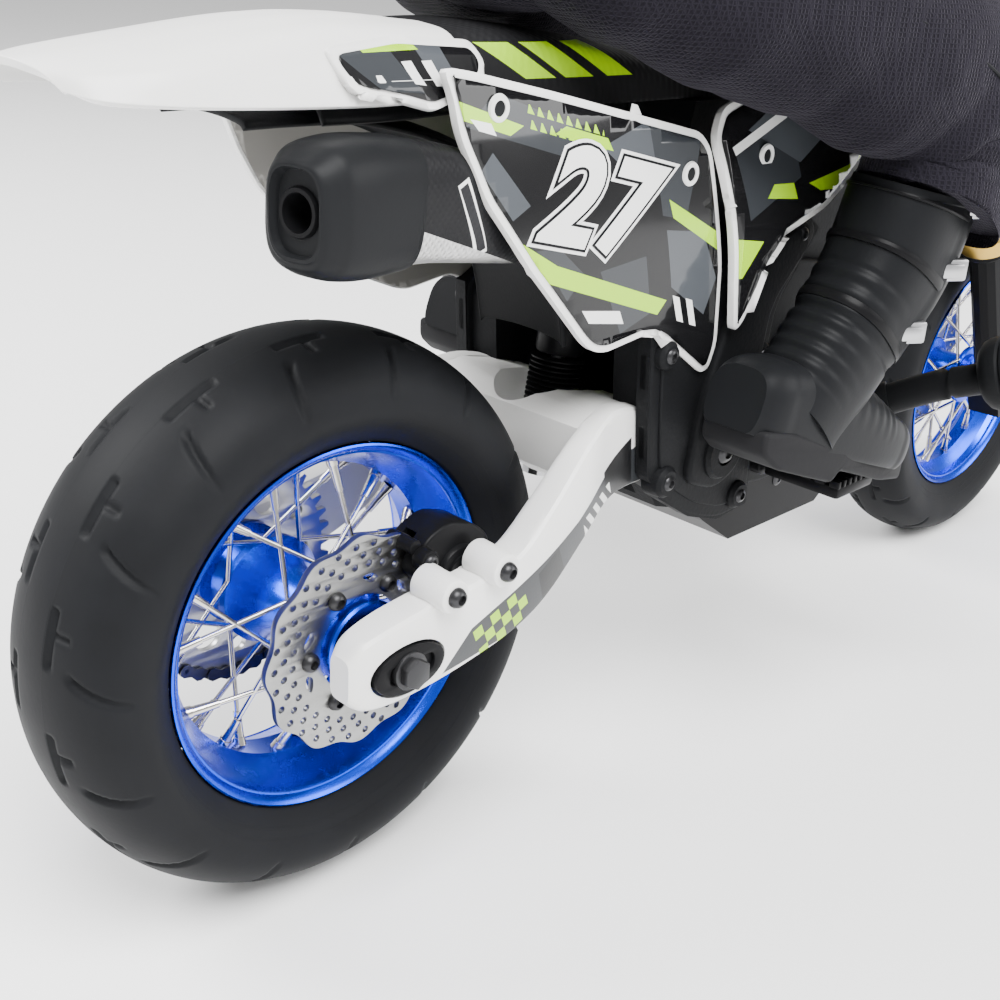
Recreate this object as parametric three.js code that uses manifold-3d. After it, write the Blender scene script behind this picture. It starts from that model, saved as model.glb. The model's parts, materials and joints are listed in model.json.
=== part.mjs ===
// Quarter-scale radio-controlled supermoto motorcycle with a seated rider.
// Millimetres. X runs forward, Y to the rider's left, Z up. The design frame puts X = 0 on the rear
// axle and Z = 0 on the ground; the last lines centre the whole model over its origin.
import * as THREE from 'three';
import { mergeVertices } from 'three/addons/utils/BufferGeometryUtils.js';
import Module from 'manifold-3d';

const wasm = await Module();
wasm.setup();

// Driving dimensions
const WHEELBASE = 368;
const REAR_RADIUS = 77.2;
const REAR_HALF_WIDTH = 24.6;
const FRONT_RADIUS = 75.4;
const FRONT_HALF_WIDTH = 16.5;
const RIM_LIP_RADIUS = 51;
const REAR_LIP_Y = 17.8;
const FRONT_LIP_Y = 12;
const SPOKES = 16;
const WHEEL_SIDES = 32;
const AXLE_RADIUS = 4;
const REAR_DISC_RADIUS = 30;
const FRONT_DISC_RADIUS = 36;
const DISC_CLEARANCE = 1;
const CHASSIS_HALF = 24;
const SKID_BOTTOM_Z = 60;
const SKID_WALL = 3.7;
const SKID_TOP_Z = 83.5;
const GAP = 0.3;

const PIVOT_X = 132;
const PIVOT_Z = 105;
const ARM_OUTER_Y = 44.5;
const CHAIN_Y = 29;
const REAR_TEETH = 42;
const FRONT_TEETH = 14;
const SPUR_TEETH = 24;
const PINION_TEETH = 8;
const GEAR_MODULE = 1.5;
const CHAIN_PITCH = 4.8;

const RAKE = THREE.MathUtils.degToRad(26.8);
const STEER_X = 276.5;
const STEER_Z = 215;
const FORK_OFFSET = 9;
const FORK_HALF_SPAN = 26;
const FORK_OUTER_RADIUS = 8.8;
const FORK_INNER_RADIUS = 6.4;
const LINK_ARM = 12;

const SHOCK_TOP = [104, 166];
const SHOCK_FOOT = [94, 98];

// Materials
function finish(color, roughness, metalness = 0) {
  return new THREE.MeshStandardMaterial({ color, roughness, metalness });
}
const tyreRubber = finish(0x26262a, 0.85);
const blueAlloy = finish(0x1f5fb8, 0.35, 0.9);
const steel = finish(0xb9bcc0, 0.35, 1);
const darkSteel = finish(0x4b4d50, 0.4, 1);
const goldAlloy = finish(0xc9a14a, 0.3, 1);
const blackNylon = finish(0x1b1c1e, 0.7);
const blackAlloy = finish(0x222326, 0.45, 0.7);
const whitePlastic = finish(0xe9e7e0, 0.45);
const panelPlastic = finish(0x2a2b2e, 0.3);
const neonPlastic = finish(0xc8e81c, 0.4);
const fabric = finish(0x202124, 0.95);
const jersey = finish(0x2b2c30, 0.9);
const bootPlastic = finish(0x37393c, 0.6);
const helmetShell = finish(0xe8e8e6, 0.25);

const bike = new THREE.Group();

// Mesh helpers

function signedVolume(positions, index) {
  const a = new THREE.Vector3();
  const b = new THREE.Vector3();
  const c = new THREE.Vector3();
  let sum = 0;
  for (let i = 0; i < index.length; i += 3) {
    a.fromArray(positions, index[i] * 3);
    b.fromArray(positions, index[i + 1] * 3);
    c.fromArray(positions, index[i + 2] * 3);
    sum += a.dot(b.cross(c));
  }
  return sum;
}

// Shared vertices merged, collapsed triangles dropped and faces turned outward.
function tidy(geometry) {
  const bare = geometry.clone();
  bare.deleteAttribute('normal');
  bare.deleteAttribute('uv');
  const merged = mergeVertices(bare, 1e-4);
  const source = merged.index.array;
  const index = [];
  for (let i = 0; i < source.length; i += 3) {
    const [a, b, c] = [source[i], source[i + 1], source[i + 2]];
    if (a !== b && b !== c && c !== a) {
      index.push(a, b, c);
    }
  }
  if (signedVolume(merged.attributes.position.array, index) < 0) {
    index.reverse();
  }
  merged.setIndex(index);
  return merged;
}

function solid(geometry) {
  const clean = tidy(geometry);
  return new wasm.Manifold(new wasm.Mesh({
    numProp: 3,
    vertProperties: new Float32Array(clean.attributes.position.array),
    triVerts: new Uint32Array(clean.index.array),
  }));
}

function unsolid(manifold) {
  const mesh = manifold.getMesh();
  const geometry = new THREE.BufferGeometry();
  geometry.setAttribute('position', new THREE.BufferAttribute(mesh.vertProperties, 3));
  geometry.setIndex(new THREE.BufferAttribute(mesh.triVerts, 1));
  return geometry;
}

function join(...geometries) {
  const [first, ...rest] = geometries.map(solid);
  return unsolid(rest.reduce((sum, piece) => sum.add(piece), first));
}

function cut(geometry, ...tools) {
  return unsolid(tools.map(solid).reduce((rest, tool) => rest.subtract(tool), solid(geometry)));
}

function add(name, geometry, material, parent = bike) {
  const clean = tidy(geometry);
  clean.computeVertexNormals();
  const mesh = new THREE.Mesh(clean, material);
  mesh.name = name;
  parent.add(mesh);
}

// Shape helpers

function box(x0, x1, y0, y1, z0, z1) {
  const geometry = new THREE.BoxGeometry(x1 - x0, y1 - y0, z1 - z0);
  return geometry.translate((x0 + x1) / 2, (y0 + y1) / 2, (z0 + z1) / 2);
}

// An outline of [x, z] points, with optional holes, as a plate from y0 to y1.
function plate(outline, y0, y1, holes = []) {
  const shape = new THREE.Shape(outline.map(([x, z]) => new THREE.Vector2(x, z)));
  for (const hole of holes) {
    shape.holes.push(new THREE.Path(hole.map(([x, z]) => new THREE.Vector2(x, z))));
  }
  const geometry = new THREE.ExtrudeGeometry(shape, { depth: y1 - y0, bevelEnabled: false });
  return geometry.rotateX(Math.PI / 2).translate(0, y1, 0);
}

function circle(x, z, radius, count, phase = 0) {
  return Array.from({ length: count }, (_, i) => {
    const angle = phase + (2 * Math.PI * i) / count;
    return [x + radius * Math.cos(angle), z + radius * Math.sin(angle)];
  });
}

// A cylinder along Y.
function barrel(x, z, y0, y1, radius, sides = 20) {
  const geometry = new THREE.CylinderGeometry(radius, radius, y1 - y0, sides);
  return geometry.translate(x, (y0 + y1) / 2, z);
}

// A ring turned about Y from [radius, y] points that close on themselves.
function ring(profile, sides) {
  const points = [...profile, profile[0]].map(([r, y]) => new THREE.Vector2(r, y));
  return new THREE.LatheGeometry(points, sides);
}

function rod(from, to, radius, sides = 8) {
  const a = new THREE.Vector3(...from);
  const b = new THREE.Vector3(...to);
  const along = b.clone().sub(a);
  const geometry = new THREE.CylinderGeometry(radius, radius, along.length(), sides);
  const turn = new THREE.Quaternion().setFromUnitVectors(
    new THREE.Vector3(0, 1, 0), along.clone().normalize());
  const middle = a.add(b).multiplyScalar(0.5);
  return geometry.applyQuaternion(turn).translate(middle.x, middle.y, middle.z);
}

// A rod bent along a smooth curve through the points.
function bentRod(points, radius, steps = 16, sides = 10) {
  const curve = new THREE.CatmullRomCurve3(points.map((p) => new THREE.Vector3(...p)));
  const section = new THREE.Shape(
    circle(0, 0, radius, sides).map(([x, y]) => new THREE.Vector2(x, y)));
  return new THREE.ExtrudeGeometry(section, { steps, bevelEnabled: false, extrudePath: curve });
}

// Rings of equal length joined in order and closed at both ends.
function loft(rings) {
  const count = rings[0].length;
  const points = rings.flat();
  const index = [];
  for (let i = 0; i + 1 < rings.length; i += 1) {
    for (let j = 0; j < count; j += 1) {
      const k = (j + 1) % count;
      const [a, b] = [i * count + j, i * count + k];
      const [c, d] = [a + count, b + count];
      index.push(a, b, d, a, d, c);
    }
  }
  for (const [base, flip] of [[0, false], [(rings.length - 1) * count, true]]) {
    const middle = new THREE.Vector3();
    for (let j = 0; j < count; j += 1) {
      middle.add(points[base + j]);
    }
    points.push(middle.divideScalar(count));
    for (let j = 0; j < count; j += 1) {
      const edge = [base + j, base + ((j + 1) % count)];
      index.push(points.length - 1, ...(flip ? edge : edge.reverse()));
    }
  }
  const geometry = new THREE.BufferGeometry().setFromPoints(points);
  geometry.setIndex(index);
  return geometry;
}

// Four-sided sections across X: [x, outer y, inner y, top z, bottom z].
function boxLoft(sections) {
  return loft(sections.map(([x, outer, inner, top, bottom]) => [
    new THREE.Vector3(x, outer, bottom),
    new THREE.Vector3(x, inner, bottom),
    new THREE.Vector3(x, inner, top),
    new THREE.Vector3(x, outer, top),
  ]));
}

// A rounded limb through stations [x, y, z, half width, half depth]; a power above 2 squares it.
function limb(stations, sides = 12, power = 2) {
  const centres = stations.map(([x, y, z]) => new THREE.Vector3(x, y, z));
  const rings = stations.map(([, , , wide, deep], i) => {
    const before = centres[Math.max(i - 1, 0)];
    const after = centres[Math.min(i + 1, centres.length - 1)];
    const along = after.clone().sub(before).normalize();
    const side = Math.abs(along.y) > 0.9
      ? new THREE.Vector3(1, 0, 0)
      : new THREE.Vector3(0, 1, 0).addScaledVector(along, -along.y).normalize();
    side.addScaledVector(along, -side.dot(along)).normalize();
    const up = along.clone().cross(side);
    return Array.from({ length: sides }, (_, j) => {
      const angle = (2 * Math.PI * (j + 0.5)) / sides;
      const [c, s] = [Math.cos(angle), Math.sin(angle)];
      const reach = (Math.abs(c) ** power + Math.abs(s) ** power) ** (-1 / power);
      return centres[i].clone().addScaledVector(side, wide * c * reach)
        .addScaledVector(up, deep * s * reach);
    });
  });
  return loft(rings);
}

// A sheet through a grid of [x, y, z] rows, thickened inward by its own normals.
function skin(rows, thickness) {
  const grid = rows.map((row) => row.map((p) => new THREE.Vector3(...p)));
  const [m, n] = [grid.length, grid[0].length];
  const inner = grid.map((row, i) => row.map((p, j) => {
    const du = grid[Math.min(i + 1, m - 1)][j].clone().sub(grid[Math.max(i - 1, 0)][j]);
    const dv = grid[i][Math.min(j + 1, n - 1)].clone().sub(grid[i][Math.max(j - 1, 0)]);
    return p.clone().addScaledVector(du.cross(dv).normalize(), -thickness);
  }));
  const points = [...grid.flat(), ...inner.flat()];
  const index = [];
  const quad = (a, b, c, d) => index.push(a, b, c, a, c, d);
  const low = m * n;
  for (let i = 0; i + 1 < m; i += 1) {
    for (let j = 0; j + 1 < n; j += 1) {
      const [a, b, c, d] = [i * n + j, i * n + j + 1, (i + 1) * n + j + 1, (i + 1) * n + j];
      quad(a, d, c, b);
      quad(low + a, low + b, low + c, low + d);
    }
  }
  const rim = [];
  for (let j = 0; j < n; j += 1) {
    rim.push(j);
  }
  for (let i = 1; i < m; i += 1) {
    rim.push(i * n + n - 1);
  }
  for (let j = n - 2; j >= 0; j -= 1) {
    rim.push((m - 1) * n + j);
  }
  for (let i = m - 2; i > 0; i -= 1) {
    rim.push(i * n);
  }
  rim.forEach((a, k) => {
    const b = rim[(k + 1) % rim.length];
    quad(a, b, low + b, low + a);
  });
  const geometry = new THREE.BufferGeometry().setFromPoints(points);
  geometry.setIndex(index);
  return geometry;
}

// The same shape on the other side of the bike.
function mirrored(geometry) {
  return tidy(geometry.clone().scale(1, -1, 1));
}

// Adds a right-hand piece and its mirror image.
function addPair(name, geometry, material, parent = bike) {
  add(`${name}_right`, geometry, material, parent);
  add(`${name}_left`, mirrored(geometry), material, parent);
}

function gear(x, z, y0, y1, teeth, bore, phase) {
  const pitch = (teeth * GEAR_MODULE) / 2;
  const outline = [];
  for (let i = 0; i < teeth; i += 1) {
    const centre = phase + (2 * Math.PI * i) / teeth;
    const step = (2 * Math.PI) / teeth;
    for (const [radius, share] of [[-1.05, -0.27], [0.65, -0.1], [0.65, 0.1], [-1.05, 0.27]]) {
      const angle = centre + step * share;
      const reach = pitch + radius * GEAR_MODULE;
      outline.push([x + reach * Math.cos(angle), z + reach * Math.sin(angle)]);
    }
  }
  return plate(outline, y0, y1, [circle(x, z, bore, 12)]);
}

// Wheels

function tyreProfile(radius, halfWidth, lipY) {
  const outer = [
    [radius, 0], [radius - 2.4, halfWidth * 0.42], [radius - 8.5, halfWidth * 0.78],
    [radius - 18, halfWidth * 0.98], [57, halfWidth * 0.97], [RIM_LIP_RADIUS + 0.6, lipY + 2],
  ];
  const inner = [
    [RIM_LIP_RADIUS + 0.6, lipY - 3.2], [radius - 17, halfWidth * 0.98 - 3.4],
    [radius - 6, halfWidth * 0.36],
  ];
  const mirror = (list) => list.filter(([, y]) => y > 0).map(([r, y]) => [r, -y]).reverse();
  return [...mirror(outer), ...outer, ...inner, ...mirror(inner)];
}

function rimProfile(lipY) {
  const half = [
    [41.6, lipY * 0.34], [44.2, lipY * 0.62], [RIM_LIP_RADIUS - 0.4, lipY],
    [RIM_LIP_RADIUS - 0.4, lipY - 1.6], [44.6, lipY * 0.36],
  ];
  return [...half, ...half.map(([r, y]) => [r, -y]).reverse()];
}

function spokedHub(x, z, core, flangeY, flangeRadius) {
  const pieces = [
    barrel(x, z, -flangeY, flangeY, core, 14),
    barrel(x, z, -flangeY - 1.6, -flangeY + 1.6, flangeRadius, 20),
    barrel(x, z, flangeY - 1.6, flangeY + 1.6, flangeRadius, 20),
  ];
  for (let i = 0; i < SPOKES; i += 1) {
    const side = i % 2 === 0 ? 1 : -1;
    const lean = i % 4 < 2 ? 1 : -1;
    const foot = (2 * Math.PI * i) / SPOKES;
    const root = foot - lean * 0.62;
    const near = flangeRadius - 2.2;
    pieces.push(rod(
      [x + near * Math.cos(root), side * flangeY, z + near * Math.sin(root)],
      [x + 41.1 * Math.cos(foot), side * 1.6, z + 41.1 * Math.sin(foot)], 1, 4));
  }
  return pieces;
}

function discPlate(x, z, y0, y1, inner, outer, holes) {
  const rim = Array.from({ length: 30 }, (_, i) => {
    const angle = (2 * Math.PI * i) / 30;
    const reach = outer - 0.9 * (1 - Math.cos(angle * 10));
    return [x + reach * Math.cos(angle), z + reach * Math.sin(angle)];
  });
  const windows = Array.from({ length: holes }, (_, i) => {
    const angle = (2 * Math.PI * i) / holes;
    const middle = (inner + outer) / 2;
    return circle(x + middle * Math.cos(angle), z + middle * Math.sin(angle), 3.4, 4, angle);
  });
  return plate(rim, y0, y1, [circle(x, z, inner, 16), ...windows]);
}

function wheel(prefix, x, radius, halfWidth, lipY, hubCore, hubFlangeY, hubFlange) {
  const tyre = ring(tyreProfile(radius, halfWidth, lipY), WHEEL_SIDES).translate(x, 0, radius);
  add(`${prefix}_tyre`, tyre, tyreRubber);
  add(`${prefix}_rim`, ring(rimProfile(lipY), WHEEL_SIDES).translate(x, 0, radius), blueAlloy);
  const bore = barrel(x, radius, -60, 60, AXLE_RADIUS + GAP, 12);
  const hub = join(...spokedHub(x, radius, hubCore, hubFlangeY, hubFlange));
  return { hub, bore };
}

function rearWheel() {
  const z = REAR_RADIUS;
  const parts = wheel('rear', 0, REAR_RADIUS, REAR_HALF_WIDTH, REAR_LIP_Y, 9, 13, 15.5);
  const carriers = join(parts.hub, barrel(0, z, -27, -12, 12, 16),
    barrel(0, z, -29.2, -26.9, 15, 20), barrel(0, z, 12, 27.7, 12, 16));
  add('rear_hub', cut(carriers, parts.bore), blueAlloy);
  add('rear_brake_disc', discPlate(0, z, -26.6, -24.7, 12.5, REAR_DISC_RADIUS, 10), steel);
  const lighten = Array.from({ length: 8 }, (_, i) => {
    const angle = (2 * Math.PI * (i + 0.5)) / 8;
    return circle(20.5 * Math.cos(angle), z + 20.5 * Math.sin(angle), 4.4, 6);
  });
  add('rear_sprocket', plate(circle(0, z, chainRadius(REAR_TEETH) - 2, 42), 28, 30,
    [circle(0, z, 9, 20), ...lighten]), steel);
}

function frontWheel() {
  const z = FRONT_RADIUS;
  const parts = wheel('front', WHEELBASE, FRONT_RADIUS, FRONT_HALF_WIDTH, FRONT_LIP_Y, 8, 9, 13);
  const carriers = join(parts.hub, barrel(WHEELBASE, z, 8, 14.4, 10.5, 20));
  add('front_hub', cut(carriers, parts.bore), blueAlloy);
  add('front_brake_disc', discPlate(WHEELBASE, z, 14.7, 16.3, 11, FRONT_DISC_RADIUS, 10), steel);
}

// Rear drive

function chainRadius(teeth) {
  return CHAIN_PITCH / (2 * Math.sin(Math.PI / teeth));
}

// The band that the chain sweeps round its two sprockets, grown by an offset.
function chainLoop(offset) {
  const big = chainRadius(REAR_TEETH) + offset;
  const small = chainRadius(FRONT_TEETH) + offset;
  const [dx, dz] = [PIVOT_X, PIVOT_Z - REAR_RADIUS];
  const slope = Math.atan2(dz, dx);
  const lean = Math.acos((big - small) / Math.hypot(dx, dz));
  const points = [];
  for (let i = 0; i <= 16; i += 1) {
    const angle = slope + lean + ((2 * Math.PI - 2 * lean) * i) / 16;
    points.push([big * Math.cos(angle), REAR_RADIUS + big * Math.sin(angle)]);
  }
  for (let i = 0; i <= 8; i += 1) {
    const angle = slope - lean + (2 * lean * i) / 8;
    points.push([PIVOT_X + small * Math.cos(angle), PIVOT_Z + small * Math.sin(angle)]);
  }
  return points;
}

function rearDrive() {
  add('drive_chain', plate(chainLoop(1.6), CHAIN_Y - 2.2, CHAIN_Y + 2.2, [chainLoop(-1.4)]), darkSteel);
  const bore = 3.4;
  const sprocket = plate(circle(PIVOT_X, PIVOT_Z, chainRadius(FRONT_TEETH) - 1.9, 28),
    CHAIN_Y - 1, CHAIN_Y + 1, [circle(PIVOT_X, PIVOT_Z, bore, 12)]);
  const shaft = plate(circle(PIVOT_X, PIVOT_Z, 5.4, 16), 8, CHAIN_Y,
    [circle(PIVOT_X, PIVOT_Z, bore, 12)]);
  const spur = gear(PIVOT_X, PIVOT_Z, 14, 19, SPUR_TEETH, bore, 0);
  add('counter_sprocket', join(sprocket, shaft, spur), darkSteel);
  const centre = PIVOT_X + ((SPUR_TEETH + PINION_TEETH) * GEAR_MODULE) / 2;
  const halfTooth = Math.PI / PINION_TEETH;
  add('motor_pinion', join(
    gear(centre, PIVOT_Z, 14, 19, PINION_TEETH, 1.2, Math.PI + halfTooth),
    barrel(centre, PIVOT_Z, -14, 20.5, 1.6, 10)), goldAlloy);
  add('drive_motor', cut(join(barrel(centre, PIVOT_Z, -20.6, 11, 13, 24),
    box(centre - 10, centre + 16, 9.4, 12.6, PIVOT_Z - 15, PIVOT_Z + 15)),
  barrel(centre, PIVOT_Z, -16, 30, 2, 10)), blackAlloy);
}

// Swingarm

function swingarm() {
  const arm = boxLoft([
    [-17, -42.5, -35, 84, 72], [-8, -ARM_OUTER_Y, -33.5, 90, 68], [14, -ARM_OUTER_Y, -33.5, 93, 69],
    [38, -ARM_OUTER_Y, -33.5, 95.5, 73], [53, -43.5, -33, 108, 80], [70, -40, -31, 120, 90],
    [88, -34.6, -27, 125, 97], [104, -34.4, -25, 121, 98], [128, -34.4, -25, 114, 96],
    [140, -34.4, -25, 110, 99],
  ]);
  const opening = new THREE.CylinderGeometry(1, 1, 60, 16).rotateX(Math.PI / 2)
    .scale(13.5, 20.5, 1).translate(96, 0, 112);
  const bridge = boxLoft([[76, -33, 33, 121, 104], [82, -33, 33, 124, 98], [111.4, -27, 27, 119, 98]]);
  const sprocketBay = barrel(PIVOT_X, PIVOT_Z, 23, 32.2, 14, 20);
  const axleSlot = box(-10, 12, -60, 60, REAR_RADIUS - 7, REAR_RADIUS + 7);
  const pivotBore = barrel(PIVOT_X, PIVOT_Z, -60, 60, 3.6, 16);
  const body = join(arm, mirrored(arm), bridge);
  const chainWay = plate(chainLoop(2.6), CHAIN_Y - 3.4, CHAIN_Y + 3.4, [chainLoop(-2.4)]);
  const foot = rod([SHOCK_FOOT[0], -24, SHOCK_FOOT[1]], [SHOCK_FOOT[0], 24, SHOCK_FOOT[1]], 2.2, 12);
  const lugs = join(
    box(88, 100, -26, -9, 95, 103), box(88, 100, 9, 26, 95, 103), foot);
  const shaped = cut(body, opening, axleSlot, pivotBore, chainWay, sprocketBay);
  add('swingarm', join(shaped, lugs), whitePlastic);
  const block = box(-9.6, 11.6, -ARM_OUTER_Y - 1.2, -33.8, REAR_RADIUS - 6.6, REAR_RADIUS + 6.6);
  add('rear_axle', join(
    barrel(0, REAR_RADIUS, -ARM_OUTER_Y - 4.4, ARM_OUTER_Y + 4.4, AXLE_RADIUS, 16),
    block, mirrored(block)), steel);
  const pads = plate([[12, 95], [22, 106], [38, 100], [41, 84], [34, 76.5], [22, 84]], -32.8, -20.5);
  add('rear_caliper', cut(pads, plate(circle(0, REAR_RADIUS, REAR_DISC_RADIUS + DISC_CLEARANCE, 40), -27.6, -23.9)), blackAlloy);
}

// Rear shock

function shock() {
  const top = new THREE.Vector3(SHOCK_TOP[0], 0, SHOCK_TOP[1]);
  const foot = new THREE.Vector3(SHOCK_FOOT[0], 0, SHOCK_FOOT[1]);
  const down = foot.clone().sub(top).normalize();
  const at = (distance) => top.clone().addScaledVector(down, distance).toArray();
  const length = top.distanceTo(foot);
  const head = cut(join(rod(at(-5), at(8), 6, 12), rod(at(6), at(36), 7.2, 16)),
    barrel(SHOCK_TOP[0], SHOCK_TOP[1], -20, 20, 2.8, 12), rod(at(6), at(40), 2.6, 12));
  add('shock_body', head, blackAlloy);
  const eye = cut(join(rod(at(16), at(length - 6), 2.2, 10), rod(at(length - 16), at(length - 11), 8, 16),
    rod(at(length - 12), at(length + 5), 5.6, 12)),
    barrel(SHOCK_FOOT[0], SHOCK_FOOT[1], -20, 20, 3.4, 12));
  add('shock_shaft', eye, steel);
  const spring = cut(rod(at(36.4), at(length - 16.4), 8.4, 20), rod(at(30), at(length), 5.4, 16));
  add('shock_spring', spring, blackNylon);
}

// Chassis

const CHASSIS_OUTLINE = [
  [114.5, 94], [124, 81], [150, 73], [214, 73], [236, 92], [240, 140], [252, 178], [268, 190],
  [258, 214], [236, 207], [180, 206], [122, 206], [116, 180], [115, 150], [114.5, 128],
];

function shrunk(outline, inset) {
  const centre = outline.reduce(([x, z], p) => [x + p[0] / outline.length, z + p[1] / outline.length],
    [0, 0]);
  return outline.map(([x, z]) => {
    const reach = Math.hypot(x - centre[0], z - centre[1]);
    const share = (reach - inset) / reach;
    return [centre[0] + (x - centre[0]) * share, centre[1] + (z - centre[1]) * share];
  });
}

function chassis() {
  const half = CHASSIS_HALF;
  const shockLug = box(97, 118, -half, -17.2, 160, 172);
  const cover = plate([
    [92, 146], [94, 124], [97, 103], [104, 94], [120, 84], [136, 78.5], [152, 80], [150, 112],
    [154, 146], [172, 168], [160, 176], [118, 160],
  ], -39.4, -35);
  const spacers = [[118, 150], [146, 150], [140, 88]].map(
    ([x, z]) => barrel(x, z, -35.2, -half + 0.5, 3.6, 10));
  const outer = join(plate(CHASSIS_OUTLINE, -half, -0.2), shockLug, cover, ...spacers);
  const hollow = plate(shrunk(CHASSIS_OUTLINE, 4.2), -half + 2.6, 1);
  const shockBay = box(80, 122, -17, 17, 60, 185);
  const headBay = box(236, 300, -13.5, 13.5, 150, 230);
  const plainHalf = cut(outer, hollow, shockBay, headBay);
  const shockBore = barrel(SHOCK_TOP[0], SHOCK_TOP[1], -60, 60, 2.8, 12);
  add('chassis_right', join(cut(plainHalf, shockBore),
    barrel(PIVOT_X, PIVOT_Z, -36, 35.5, 3.1, 14), barrel(204, 108, -22, -2, 11, 20),
    barrel(204, 108, -3, 18, 3, 12)), blackNylon);
  add('chassis_left', join(
    cut(mirrored(plainHalf), box(112, 124, 13.2, 19.8, 84, 126), barrel(PIVOT_X, PIVOT_Z, 20, 30, 7, 16), barrel(PIVOT_X, PIVOT_Z, 30, 60, 3.5, 14)),
    barrel(SHOCK_TOP[0], SHOCK_TOP[1], -22, 20, 2.4, 12)), blackNylon);
  skidPlate();
}

function skidPlate() {
  const inner = CHASSIS_HALF + GAP;
  const outer = inner + SKID_WALL;
  const tray = plate([
    [130, SKID_TOP_Z], [146, 71], [162, SKID_BOTTOM_Z], [216, SKID_BOTTOM_Z], [236, 74], [245, 93],
    [238, 93], [228, SKID_TOP_Z],
  ], -outer, outer);
  const floor = SKID_BOTTOM_Z + SKID_WALL;
  const space = plate([
    [132.3, 100], [132.3, 86.4], [148.3, 74], [163.4, floor], [214.8, floor], [233, 76.4], [241, 100],
  ], -inner, inner);
  add('skid_plate', cut(tray, space, box(100, 300, -inner, inner, 72.6, 130)), blackAlloy);
}

function inside() {
  add('battery', box(130, 226, -12.5, 12.5, 152, 198), neonPlastic);
  add('electronics', join(box(134, 172, -14, 14, 134, 148), box(171, 204, -10, 10, 136, 147)),
    blackAlloy);
  const rotor = join(ring([[7, -5], [23, -7], [23, 7], [7, 5]], 20), barrel(0, 0, -5, 5, 8, 20));
  add('gyro_flywheel', cut(rotor.translate(204, 6, 108), barrel(204, 108, -30, 30, 3.4, 12)), goldAlloy);
}

function crashBars() {
  const bar = bentRod([[206, -25.6, 96], [207, -30, 96.3], [216, -42, 101], [224, -62, 112], [227, -80, 120]], 5.6, 7, 8);
  addPair('crash_bar', join(bar, rod([227, -79, 120], [229.5, -94, 126], 12.5, 14)), blackNylon);
  const step = join(
    rod([160, -39.4, 92], [160, -66, 92], 3.2, 8),
    rod([180, -24.4, 90], [180, -66, 90], 3.2, 8),
    box(158, 182, -68, -63, 86.5, 94), box(158, 182, -52, -49, 87.5, 93));
  addPair('foot_peg', cut(step, box(150, 170, -39.2, -20, 80, 100)), blackAlloy);
}

// Bodywork

function seatShape(grow) {
  return limb([
    [31.5 - grow, 0, 219, 17 + grow, 7 + grow], [60, 0, 217, 19 + grow, 8 + grow],
    [100, 0, 213.5, 18 + grow, 7 + grow], [138 + grow, 0, 215.5, 15 + grow, 7.5 + grow],
  ], 16, 4);
}

function tankShape(grow) {
  return limb([
    [140, 0, 218, 17 + grow, 10 + grow], [160, 0, 224, 23 + grow, 14.5 + grow],
    [200, 0, 228.5, 25 + grow, 17 + grow], [226, 0, 229, 19 + grow, 14 + grow],
    [246 + grow, 0, 228, 11 + grow, 8 + grow],
  ], 16, 3);
}

function bodywork() {
  const fenderHalf = [
    [-70, [[0, 219.6], [10.5, 218.6], [15.5, 214]]], [-60, [[0, 221.2], [17, 219.2], [23, 212.8]]],
    [-30, [[0, 225.2], [19, 222.8], [28, 211.4]]], [0, [[0, 228], [19.5, 226], [30, 210.6]]],
    [30, [[0, 226], [19, 224.4], [28.6, 212]]],
  ];
  const rows = fenderHalf.map(([x, half]) => [
    ...half.slice(1).map(([y, z]) => [x, -y, z]).reverse(), ...half.map(([y, z]) => [x, y, z]),
  ]);
  add('rear_fender', skin(rows, 2), whitePlastic);
  const arc = [[-26, 208.5], [6, 208], [40, 199], [66, 178], [79, 156], [82.5, 142]];
  add('inner_fender', skin(arc.map(([x, z]) => [[x, -17, z - 2], [x, 0, z], [x, 17, z - 2]]), 1.8),
    blackNylon);
  add('seat', seatShape(0), blackNylon);
  add('tank_cover', tankShape(0), whitePlastic);
  const sidePanel = (rear) => skin([
    [rear[0], [40, -32, 216.5], [70, -31, 211.5], [109, -30, 205]],
    [rear[1], [48, -39, 196], [80, -40.5, 186], [112, -39.5, 182]],
    [rear[2], [52, -41, 172], [86, -43, 165], [117, -42.5, 160]],
    [rear[3], [65, -40, 150], [92, -43, 147], [120, -43.5, 136]],
  ], 2);
  const besideMuffler = [[14, -33, 221], [18, -37, 209], [26, -37, 191], [42, -36, 170]];
  const fullLength = [[4, -33, 216], [2, -36, 204], [16, -36.5, 184], [43, -36, 158]];
  add('side_panel_right', sidePanel(besideMuffler), panelPlastic);
  add('side_panel_left', mirrored(sidePanel(fullLength)), panelPlastic);
  addPair('shroud', skin([
    [[112, -30, 206], [140, -28, 214], [176, -27.5, 222], [214, -26, 230], [240, -24, 232]],
    [[115, -38, 184], [142, -41, 195], [176, -43, 206], [212, -38, 216], [238, -34, 222]],
    [[117, -43, 164], [140, -45.5, 177], [172, -47, 192], [204, -42.5, 206], [230, -37, 214]],
    [[119.5, -45, 143], [134, -46.5, 160], [160, -48, 178], [192, -43.5, 196], [224, -39, 208]],
  ], 2), panelPlastic);
  add('muffler', join(
    limb([[-16, -33, 190.5, 11, 14.5], [8, -28.4, 189.5, 6.4, 13], [20, -27.4, 188, 6, 12.5],
      [58, -25, 178, 6, 10]], 12, 4),
    bentRod([[54, -25.6, 179], [76, -25, 170], [98, -27.6, 154], [108, -29.4, 142]], 4, 10, 10)),
  blackAlloy);
  const cap = limb([
    [-27, -35.2, 191, 10, 13], [-23, -34.4, 190.9, 12.4, 15.6], [-17.6, -33.4, 190.7, 12.4, 15.6],
  ], 12, 4);
  add('muffler_cap', cut(cap, rod([-40, -36.6, 192], [-19, -33.6, 190.8], 6, 16)), blackNylon);
}

// Steering, in a frame whose Z is the steering axis

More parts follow.
